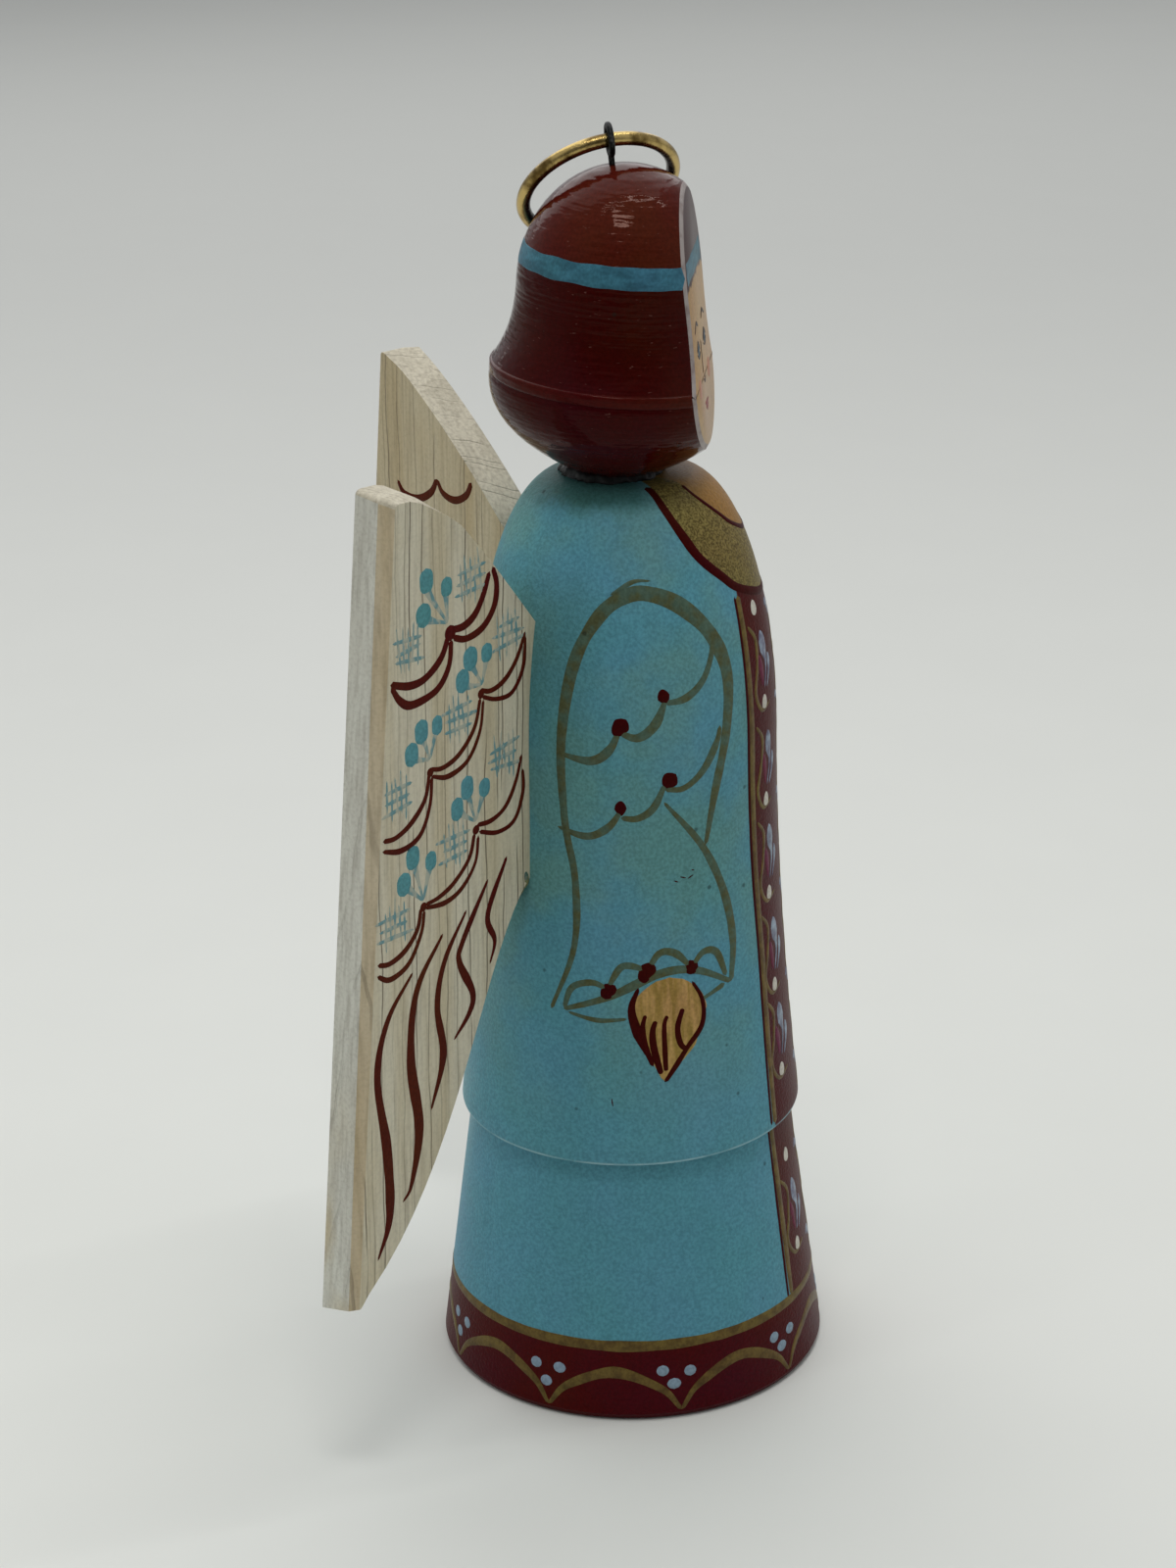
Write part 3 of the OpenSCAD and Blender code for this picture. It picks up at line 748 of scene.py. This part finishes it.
WASH, WASH_WARM = tint(213, 206, 182), tint(201, 189, 157)
CRACK_DARK, WOOD_STAIN = tint(98, 84, 64), tint(186, 162, 100)
wing_out, wing_front = heading(180 - WING_TURN), heading(90 - WING_TURN)


def on_wing(out, height, lift=0.0):
    """A place on the front of the right wing, out from the robe's axis."""
    return (wing_out * out + wing_front * (lift - WING_SET) + UP * height) * MM


def on_wing_back(out, height, lift=0.0):
    return on_wing(out, height, -WING_THICK - lift)


def on_left_wing_back(out, height, lift=0.0):
    return on_wing_back(out, height, lift) * Vector((-1, 1, 1))


def wing_wood(name, wash, warm, cracked, stained, roughness, speckled):
    """Washed board: both wings read the same places, as if folded together."""
    material, tree, surface = finish(name, Roughness=roughness)
    x, y, z = add(tree, "SeparateXYZ", {0: place_in_mm(tree)}).outputs
    right = times(tree, reckon(tree, "ABSOLUTE", x), -1)
    folded = add(tree, "CombineXYZ", {0: right, 1: y, 2: z}).outputs[0]
    across = tally(tree, reckon_vector(tree, "DOT_PRODUCT", folded, wing_out), (z, .03))
    deep = reckon_vector(tree, "DOT_PRODUCT", folded, wing_front)
    place = add(tree, "CombineXYZ", {0: across, 1: deep, 2: z}).outputs[0]
    wood = use(tree, grain, Place=place)
    rough = cloud(tree, place, 3.2)
    stain = times(tree, fade(tree, z, 44, 22), fade(tree, cloud(tree, place, .16, 3, (1, 1, .5)), .42, .66))
    colour = over(tree, wash, (fade(tree, wood["Tone"], .36, .72), warm),
                  (times(tree, fade(tree, wood["Fibre"], .4, .75), .28), CRACK_DARK),
                  (times(tree, stain, stained), WOOD_STAIN),
                  (times(tree, fade(tree, cloud(tree, place, .12), .5, .72), .4), warm),
                  (times(tree, wood["Crack"], cracked), CRACK_DARK),
                  (times(tree, fade(tree, rough, .42, .68), speckled), CRACK_DARK))
    feed(tree, surface, Base_Color=colour, Normal=bump(tree, tally(tree, wood["Height"], (rough, .5)), .07))
    return material


WASHED, PLANED, EDGE, TIP, BACK = range(5)
board_finishes = [
    wing_wood("wing_wash", WASH, WASH_WARM, .85, .15, .48, .1),
    wing_wood("wing_planed", tint(204, 191, 163), tint(190, 171, 134), .35, .7, .45, .12),
    wing_wood("wing_edge", tint(214, 214, 201), tint(195, 193, 180), .12, .7, .55, .15),
    wing_wood("wing_tip", tint(209, 201, 179), tint(187, 179, 157), .1, .1, .6, .22),
    wing_wood("wing_back", tint(200, 188, 156), tint(184, 166, 126), .5, .3, .5, .12),
]


def board_side(normal):
    """Which finish a face of the right wing's board has, by the way it looks."""
    if abs(normal.dot(wing_front)) > .9:
        return WASHED if normal.dot(wing_front) > 0 else BACK
    if normal.z > .25:
        return TIP
    if normal.dot(wing_out) > .85:
        return EDGE
    return PLANED if normal.dot(wing_out) > .5 else WASHED


lower = Vector((robe_radius(ROOT_LOW) + .1, ROOT_LOW))
toe = Vector((WING_REACH_LOW - 1.4, WING_LOW + 2.05))
heel = Vector((WING_REACH_LOW + .1, WING_LOW + 1.1))


def curve(start, start_pull, end_pull, end, points):
    """Points on a curve that leaves its start along one pull and ends along another."""
    return interpolate_bezier(start, start + Vector(start_pull), end + Vector(end_pull), end, points)


def sawn(root_top, brow, shoulder, shoulder_pull, brow_pull):
    """The rim of a board, sawn by hand from its tip down to the robe and along to its toe."""
    corner = Vector((WING_REACH, WING_TOP))
    rise, shoulder = corner + Vector((.06, -.5)), corner + Vector(shoulder)
    level = corner.lerp(shoulder, .3)
    rim = curve(rise, (corner - rise) * .6, (corner - level) * .6, level, 12)
    rim += curve(shoulder, shoulder_pull, brow_pull, Vector((robe_radius(root_top) + brow, root_top)), 14)
    rim.append(Vector((robe_radius(root_top) - SLOT_DEPTH, root_top - ROOT_FALL)))
    rim.append(Vector((robe_radius(ROOT_LOW) - SLOT_DEPTH, ROOT_LOW)))
    rim += curve(lower, (6.65, -5), (-13.2, 8.05), toe, 18)
    return rim + curve(toe, (.55, -.34), (-.12, -.45), heel, 12)[1:]


right_rim = sawn(ROOT_TOP, .3, (-1.9, -.2), (-4.2, -1.05), (6.65, 8.1))
left_rim = sawn(ROOT_TOP + LEFT_ROOT_HIGHER, .2, (-1.2, -.6), (-2.9, -1.3), (7.3, 6.9))


def progress(value, start, end):
    """How far a value has come from start to end, from 0 to 1."""
    return min(1.0, max(0.0, (value - start) / (end - start)))


def way_down(spot):
    """How far down the wing a place is: 0 at its tip, 1 at its heel."""
    return (WING_TOP - spot.z / MM) / (WING_TOP - heel.y)


def edge_share(spot):
    """How near a place on the board's rim is to its outer edge, from 0 to 1."""
    edge = WING_REACH + (WING_REACH_LOW - WING_REACH) * way_down(spot)
    return progress(spot.dot(wing_out) / MM, edge - RIDGE_WIDE, edge)


def ridge_depth(spot):
    """How far behind the front the ridge of the outer edge runs."""
    return RIDGE_DEPTH + (RIDGE_DEPTH_LOW - RIDGE_DEPTH) * way_down(spot)


def tip_fall(spot):
    """How much lower the sawn end of the tip is at its front than at its back."""
    near = progress(spot.dot(wing_out) / MM, FALL_FROM, FALL_WHOLE)
    return TIP_FALL * near if way_down(spot) < TIP_PART else 0.0


def toe_fall(spot):
    """How much lower the toe is at its back than at its front."""
    return TOE_FALL * progress(way_down(spot), TOE_PART, TOE_WHOLE)


for name, node, rim, flip, higher in (("right_wing_board", "right_wing", right_rim, 1, 0),
                                      ("left_wing_board", "left_wing", left_rim, -1, LEFT_HIGHER)):
    bm = bmesh.new()
    corners = [bm.verts.new(on_wing(*spot)) for spot in rim]
    sloped = flip > 0
    for vert in corners:
        vert.co.z -= sloped * tip_fall(vert.co) * MM
    sheet = bmesh.ops.contextual_create(bm, geom=corners)["faces"]
    for at_ridge, bulge, regained in (True, RIDGE, .6), (False, -BACK_PLANED, .4):
        raised = bmesh.ops.extrude_face_region(bm, geom=sheet)["geom"]
        for vert in (g for g in raised if isinstance(g, bmesh.types.BMVert)):
            depth = ridge_depth(vert.co) if at_ridge else WING_THICK - ridge_depth(vert.co)
            lift = sloped * regained * tip_fall(vert.co) - (not at_ridge) * toe_fall(vert.co)
            vert.co += (wing_out * bulge * edge_share(vert.co) - wing_front * depth + UP * lift) * MM
        if not at_ridge:
            bmesh.ops.delete(bm, geom=sheet, context="FACES_ONLY")
        sheet = [g for g in raised if isinstance(g, bmesh.types.BMFace)]
    bmesh.ops.recalc_face_normals(bm, faces=bm.faces)
    crisp = [e for e in bm.edges if e.calc_face_angle(0) > math.radians(30)]
    bmesh.ops.bevel(bm, geom=crisp, offset=BOARD_BEVEL * MM, offset_type="OFFSET", segments=2, profile=.5,
                    affect="EDGES", material=-1, clamp_overlap=True)
    bmesh.ops.recalc_face_normals(bm, faces=bm.faces)
    bm.normal_update()
    for face in bm.faces:
        face.material_index = board_side(face.normal)
    bmesh.ops.scale(bm, verts=bm.verts, vec=(flip, 1, 1))
    bmesh.ops.translate(bm, verts=bm.verts, vec=UP * higher * MM)
    wing = piece(name, bm, *board_finishes, sharp=10)
    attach(wing, "figure")
    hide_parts(node)

FEATHERS = [
    (1.45, [(24.3, 78.8), (22.4, 78.6), (20.8, 79.2), (19.6, 80.6), (18.6, 82.6)],
     [(23.8, 78), (22, 77.4), (19.7, 77.8), (18.1, 79.3), (17.7, 81.2), (18.2, 82.9)]),
    (1.5, [(24.3, 78.4), (25.4, 76.6), (27.5, 75.4), (29.6, 75.3), (32.1, 76.1)],
     [(24, 77.9), (24.4, 75.6), (26.1, 73.9), (29.3, 73.5), (30.9, 74.3), (32, 75.9)]),
    (1, [(20.4, 72.2), (18.8, 71.7), (16.8, 72.2), (15.1, 73.7), (13.9, 75.8)],
     [(20.1, 71.5), (18.1, 70.7), (15.9, 70.7), (14.3, 72.6), (13.9, 75.4)]),
    (1, [(20.3, 71.5), (21.2, 69), (23.3, 67.2), (25.6, 66.6), (27.4, 67)],
     [(19.9, 71.2), (20.5, 68.4), (22.3, 66.2), (25, 65.6), (27.2, 66.3)]),
    (1.1, [(27.4, 66.8), (28.1, 64.5), (30, 62.9), (32.1, 62.2), (33.8, 62.4)],
     [(27.1, 66.3), (27.5, 63.7), (28.9, 61.4), (31.4, 60.8), (33.9, 61.5)]),
    (1, [(21.3, 59.8), (19.2, 59.6), (17.2, 60.3), (15.7, 62.2), (14.8, 64.5)],
     [(21, 59.1), (18.4, 58.2), (16, 58.6), (14.7, 61), (14.7, 63.1)]),
    (1, [(21.6, 59.2), (22.4, 57.1), (24.5, 55.5), (26.6, 54.8), (28.6, 54.7)],
     [(21.1, 58.8), (21.6, 56.4), (23.5, 54.6), (25.8, 54), (28.6, 54.4)]),
    (1.1, [(29.1, 54.7), (29.7, 52.8), (31.4, 51.4), (33.5, 50.9), (35.1, 51.3)],
     [(28.7, 54.3), (29.2, 52.3), (31, 50), (33.5, 49.4), (35.2, 50.3)]),
]
MEETINGS = [(24.1, 78.5, 1.45), (20.2, 71.8, .9), (27.3, 66.7, .9), (21.4, 59.4, .9), (28.8, 54.6, .9)]
QUILLS = [
    ([(30.5, 49), (34.1, 45.6), (35.7, 40.7), (34.8, 33.4), (34.8, 26.7), (36.6, 23.1)],
     (.3, .75, .95, 1.25, 1.2, .25)),
    ([(26.3, 51.2), (30.1, 47), (31.2, 40.8), (30.4, 33.8), (31.7, 28.7), (33, 27.4)],
     (.3, .8, 1, 1.35, 1.1, .25)),
    ([(23, 52.3), (26.2, 48.5), (27.4, 44.5), (26.8, 39.5), (28.7, 34.8)], (.3, .7, .85, 1, .25)),
    ([(19.9, 54.2), (23.7, 49.4), (24.2, 47.6), (22.5, 44.1), (23, 42.3), (25.3, 40.4)],
     (.3, .7, .75, .9, .75, .25)),
    ([(17.2, 55.5), (20.1, 50.8), (19.2, 48), (20, 45.9)], (.35, .75, .7, .25)),
]
SPRIGS = [
    ((24.4, 79.5), [(27.2, 84.8), (26.7, 82.7)], [(24.2, 83.6), (24.5, 82.2)], [(28.2, 81.6), (26.8, 80.4)]),
    ((20, 72.6), [(21.7, 76.3), (21.4, 74.9)], [(19.1, 76.2), (19.4, 74.7)], [(23.3, 74.3), (21.9, 73)]),
    ((27.3, 67.9), [(28.5, 71.6), (28.2, 70.4)], [(26.2, 71.6), (26.2, 70.7)], [(30.3, 69.7), (29, 68.4)]),
    ((21.4, 60.2), [(22.6, 64.6), (22.3, 63)], [(19.7, 63.8), (20.3, 62.5)], [(24.5, 62.8), (23.1, 61.4)]),
    ((28.8, 55.2), [(30.2, 60.5), (29.8, 58.9)], [(27.3, 59.4), (27.7, 58.3)], [(31.9, 58.2), (30.4, 56.7)]),
]
HATCHES = [(21.2, 82.6), (29.6, 78.6), (16.4, 76.4), (23.3, 70.6), (17.2, 65.2), (31.8, 65.7), (24.4, 58.9),
           (32.6, 54.2)]
BACK_TOP_ROW = [(19, 82.2), (23.4, 81.4), (29.2, 80.5)]
LEFT_BACK_TOP_ROW = [(17.3, 83), (22.8, 82.1), (29.3, 80.6)]
BACK_ROWS = [[(15.5, 70.5), (22, 68.8), (28, 67), (32.8, 65.8)],
             [(16.5, 57.5), (23, 55.2), (29, 53), (34.4, 51.4)]]
CUP = [(.16, 1.3), (.5, 1.9), (.84, 1.3)]
DRY_THICK, UPRIGHT_APART, LEVEL_APART, HATCH_LEAN = .03, .62, .95, .4

wing_red = stroke_paint("wing_red", tint(78, 24, 12), shine=.04)
wing_blue = stroke_paint("wing_blue", tint(84, 143, 150))
dry_blue, tree, surface = finish("dry_blue", Roughness=0.5)
held = fade(tree, cloud(tree, place_in_mm(tree), 1.6, 3, (1, 1, .5)), .4, .58)
feed(tree, surface, Base_Color=over(tree, tint(168, 172, 156), (held, tint(98, 142, 146))),
     Normal=bump(tree, held, .03))

reds, blues, drys = bmesh.new(), bmesh.new(), bmesh.new()
for thick, inner, outer in FEATHERS:
    stroke(reds, on_wing, inner, [thick * wide for wide in (.45, .5, .55, .5, .4)])
    stroke(reds, on_wing, outer, [thick * wide for wide in (.4, .45, .5, .55, .35)])
for out, z, wide in MEETINGS:
    dot(reds, on_wing, out, z, wide, wide)
for points, widths in QUILLS:
    stroke(reds, on_wing, points, widths)
both_sides(reds)
for lay, top_row in (on_wing_back, BACK_TOP_ROW), (on_left_wing_back, LEFT_BACK_TOP_ROW):
    for row in (top_row, *BACK_ROWS):
        for start, end in zip(row, row[1:]):
            a, b = Vector(start), Vector(end)
            cup = [a.lerp(b, share) - Vector((0, drop)) for share, drop in CUP]
            stroke(reds, lay, [a, *cup, b], (.6, .75, .8, .7, .45))
for foot, *petals in SPRIGS:
    for (tip, neck), wide in zip(petals, (1.85, 1.5, 1.8)):
        dab = Vector(tip).lerp(Vector(neck), .9 / (Vector(tip) - Vector(neck)).length)
        dot(blues, on_wing, *dab, wide, wide * 1.25)
        stroke(drys, on_wing, [dab, neck, foot], (1.3, .8, .5, .35, .3), DRY_THICK)
for i, (out, z) in enumerate(HATCHES):
    for k in range(-2, 3):
        jog, stop, slant = (noise.noise((i * 1.7, k * 2.3, seed)) for seed in (.5, 3.5, 6.5))
        aside, slant = out + k * UPRIGHT_APART, HATCH_LEAN * slant
        upright = [(aside + slant, z + 2.1 + 1.3 * jog), (aside - slant, z - 1.9 + 1.5 * stop)]
        stroke(drys, on_wing, upright, (.15, .3, .15), DRY_THICK)
    for k in range(-1, 2):
        jog, stop, slant = (noise.noise((i * 2.9, k * 1.9, seed)) for seed in (7.5, 1.5, 4.5))
        level, slant = z + k * LEVEL_APART - .1, HATCH_LEAN * slant
        across = [(out - 1.9 + 1.1 * jog, level + slant), (out + 1.9 + 1.1 * stop, level - slant)]
        stroke(drys, on_wing, across, (.25, .45, .4, .25), DRY_THICK)
wing_lines = piece("wing_red_lines", reds, wing_red)
wing_sprigs = piece("wing_blue_sprigs", both_sides(blues), wing_blue)
wing_hatching = piece("wing_blue_hatching", both_sides(drys), dry_blue)
for painted in wing_lines, wing_sprigs, wing_hatching:
    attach(painted, "figure")


# Wing glue: yellow wood glue came out at the lower end of each slot when the wing was
# pushed in, and dried there as a small shiny lump on wing and robe.
LUMP, LUMP_ROUGH, LUMP_FLAT, LUMP_OUT = 1.955, .16, .6, .5
wood_glue = lumpy("wood_glue", .8, 3, (.38, .6), (tint(62, 88, 78), tint(118, 116, 72)), (-.3, 1.8), .15,
                  IOR=1.5, Coat_Weight=0.3)
for name, node, flip in ("right_glue_lump", "right_wing_glue", 1), ("left_glue_lump", "left_wing_glue", -1):
    bm = bmesh.new()
    bmesh.ops.create_icosphere(bm, subdivisions=4, radius=LUMP * MM)
    for vert in bm.verts:
        vert.co *= 1 + LUMP_ROUGH * noise.noise(vert.co / MM * .9)
        vert.co -= wing_out * vert.co.dot(wing_out) * LUMP_FLAT
    bmesh.ops.translate(bm, verts=bm.verts,
                        vec=on_wing(robe_radius(ROOT_LOW) + LUMP_OUT, ROOT_LOW, -WING_THICK / 2))
    bmesh.ops.scale(bm, verts=bm.verts, vec=(flip, 1, 1))
    lump = piece(name, bm, wood_glue, sharp=180)
    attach(lump, "figure")
    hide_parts(node)


# Screw eye: blackened steel wire, bent round to a small loop and screwed into the
# crown, a little behind the middle and leaning with the head.
EYE_WIRE, EYE_LOOP, EYE_RISE, EYE_SET = .55, 1.3, 2.15, 6.0
EYE_BACK, EYE_SPOT, EYE_LEAN, EYE_TWIST = 1.7, 26.829, 9.5, 17.0
LOOP_TWIST, LOOP_CLOSED, LOOP_STEPS = -9.0, 338, 48
SHANK_POINT, POINT_END, WIRE_SIDES = 1.2, .08, 20
in_eye = in_head @ moved(0, EYE_BACK, EYE_SPOT) @ rotated(-EYE_LEAN, "X") @ rotated(EYE_TWIST, "Z")
black_steel = lumpy("black_steel", 2.2, 4, (.5, .72), (tint(22, 23, 23), tint(84, 84, 82)), (-.3, 1.2), .03,
                    Metallic=0.85)


def bent_wire(wire, degrees, start, axis, steps):
    """Round wire bent about an axis through the origin, with both ends cut square."""
    bm = bmesh.new()
    end = bmesh.ops.create_circle(bm, cap_ends=True, segments=WIRE_SIDES, radius=wire / 2)["verts"]
    bmesh.ops.transform(bm, matrix=start, verts=end)
    bmesh.ops.spin(bm, geom=bm.faces[:], cent=(0, 0, 0), axis=axis, dvec=(0, 0, 0),
                   angle=math.radians(degrees), steps=steps, use_merge=False)
    return bm


bm = bent_wire(EYE_WIRE, LOOP_CLOSED, moved(0, 0, -EYE_LOOP) @ rotated(90, "Y"), (0, -1, 0), LOOP_STEPS)
shank_top, shank_tip = -EYE_LOOP, -EYE_RISE - EYE_SET
point_top = shank_tip + SHANK_POINT
for low, high, low_radius in (point_top, shank_top, EYE_WIRE / 2), (shank_tip, point_top, POINT_END):
    bmesh.ops.create_cone(bm, cap_ends=True, segments=WIRE_SIDES, radius1=low_radius, radius2=EYE_WIRE / 2,
                          depth=high - low, matrix=moved(0, 0, (low + high) / 2))
inner_caps = [f for f in bm.faces if abs(f.calc_center_median().z - point_top) < 1e-4]
bmesh.ops.delete(bm, geom=inner_caps, context="FACES_ONLY")
bmesh.ops.transform(bm, verts=bm.verts,
                    matrix=to_metres @ in_eye @ moved(0, 0, EYE_RISE) @ rotated(LOOP_TWIST, "Z"))
eye = piece("screw_eye_wire", bm, black_steel)
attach(eye, "figure")
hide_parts("screw_eye")


# Hanging ring: brass wire bent round until its ends meet, loose in the eye and lying on
# the crown. It is dull where fingers do not rub it. Its inner side is dark brown, partly
# tarnish and partly a painted reflection of the dark crown below it.
RING_BEND, RING_WIRE, RING_SLIT, RING_SLOPE, RING_STEPS = 6.9, 1.24, 1.5, 45.0, 120
BRASS_RUBBED, BRASS_DULL, BRASS_BROWN = tint(194, 168, 106), tint(90, 70, 34), tint(36, 25, 12)
in_ring = in_eye @ moved(0, 0, EYE_RISE) @ rotated(RING_SLOPE, "Y") @ moved(RING_BEND, 0, 0)

brass_wire, tree, surface = finish("brass_wire", Metallic=1.0)
place = place_in_mm(tree)
patina = cloud(tree, place, .5, 4)
drawn_lines = cloud(tree, place, 4.5, 2)
from_middle = reckon_vector(tree, "SUBTRACT", place, in_ring.translation)
off_axis = reckon_vector(tree, "CROSS_PRODUCT", from_middle, in_ring.to_3x3() @ UP)
# Dark brown inner side: partly tarnish, partly a painted reflection of the dark crown.
inner_tarnish_and_shade = fade(tree, reckon_vector(tree, "LENGTH", off_axis), RING_BEND + .2, RING_BEND - .25)
dulled = fade(tree, patina, .41, .67)
feed(tree, surface, Roughness=tally(tree, .08, (patina, .34)),
     Base_Color=over(tree, BRASS_RUBBED, (dulled, BRASS_DULL), (inner_tarnish_and_shade, BRASS_BROWN)),
     Normal=bump(tree, tally(tree, patina, (drawn_lines, .4)), .06))

first_end = rotated(RING_SLIT / 2, "Z") @ moved(RING_BEND, 0, 0) @ rotated(90, "X")
bm = bent_wire(RING_WIRE, 360 - RING_SLIT, first_end, (0, 0, 1), RING_STEPS)
bmesh.ops.transform(bm, verts=bm.verts, matrix=to_metres @ in_ring)
ring = piece("brass_ring", bm, brass_wire)
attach(ring, "ring")
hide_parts("hanging_ring")


# Table, light and camera: a pale, plain table top in a soft bright room with three
# lamps, seen from the figure's right and a little above, as the photograph shows it.
FLOOR_NEAR, FLOOR_FAR_SHADED, FLOOR_SPECK = tint(221, 222, 216), tint(181, 182, 178), tint(150, 150, 148)
FLOOR_HALF, ROOM_LIGHT, ROOM_WHITE = 2.5, .625, tint(240, 242, 244)
LAMP_AIM = Vector((0, 0, .06))
LAMPS = [
    ("overhead", (-.22, .02, .62), .18, .075, .7),
    ("strip", (.03, -.08, .78), .016, .75, .85),
    ("window", (.45, .1, .55), .9, .9, 2.5),
]
CAMERA_PLACE, CAMERA_WAY, CAMERA_TILT, CAMERA_ROLL = (-.3044, .0036, .1769), -90, 68.51, -.88
CAMERA_LENS, CAMERA_SENSOR = 81, 36

floor_paint, tree, surface = finish("floor_paint", Roughness=0.7)
place = place_in_mm(tree)
away = add(tree, "SeparateXYZ", {0: place}).outputs[0]
# Painted shade: the table top is painted darker further back, for the light falling off there.
feed(tree, surface, Base_Color=over(tree, FLOOR_NEAR, (fade(tree, away, -100, 500), FLOOR_FAR_SHADED),
                                    (times(tree, cloud(tree, place, .05), .06), FLOOR_SPECK)))
bm = bmesh.new()
bmesh.ops.create_grid(bm, x_segments=4, y_segments=4, size=FLOOR_HALF)
floor = piece("table_top", bm, floor_paint)

world = bpy.data.worlds.new("soft_room")
world.use_nodes = True
tree, sky = world.node_tree, world.node_tree.nodes["Background"].inputs
look = add(tree, "SeparateXYZ", {0: add(tree, "TexCoord").outputs["Generated"]}).outputs
beyond = tally(tree, .2, (fade(tree, look[0], -.95, -.35), .8))
lit = reckon(tree, "MAXIMUM", beyond, fade(tree, look[2], .3, .9))
sky["Color"].default_value = ROOM_WHITE
feed(tree, sky, Strength=times(tree, lit, ROOM_LIGHT))
bpy.context.scene.world = world

for name, spot, long, wide, power in LAMPS:
    lamp = bpy.data.lights.new(name, "AREA")
    lamp.shape, lamp.size, lamp.size_y, lamp.energy = "RECTANGLE", long, wide, power
    holder = bpy.data.objects.new(name, lamp)
    holder.location = spot
    holder.rotation_euler = (LAMP_AIM - Vector(spot)).to_track_quat("-Z", "Y").to_euler()
    bpy.context.scene.collection.objects.link(holder)

camera = bpy.data.objects.new("camera", bpy.data.cameras.new("camera"))
camera.data.lens, camera.data.sensor_width = CAMERA_LENS, CAMERA_SENSOR
camera.matrix_world = (moved(*CAMERA_PLACE) @ rotated(CAMERA_WAY, "Z") @ rotated(CAMERA_TILT, "X")
                       @ rotated(CAMERA_ROLL, "Z"))
bpy.context.scene.collection.objects.link(camera)
bpy.context.scene.camera = camera
bpy.context.scene.view_settings.view_transform = "Standard"
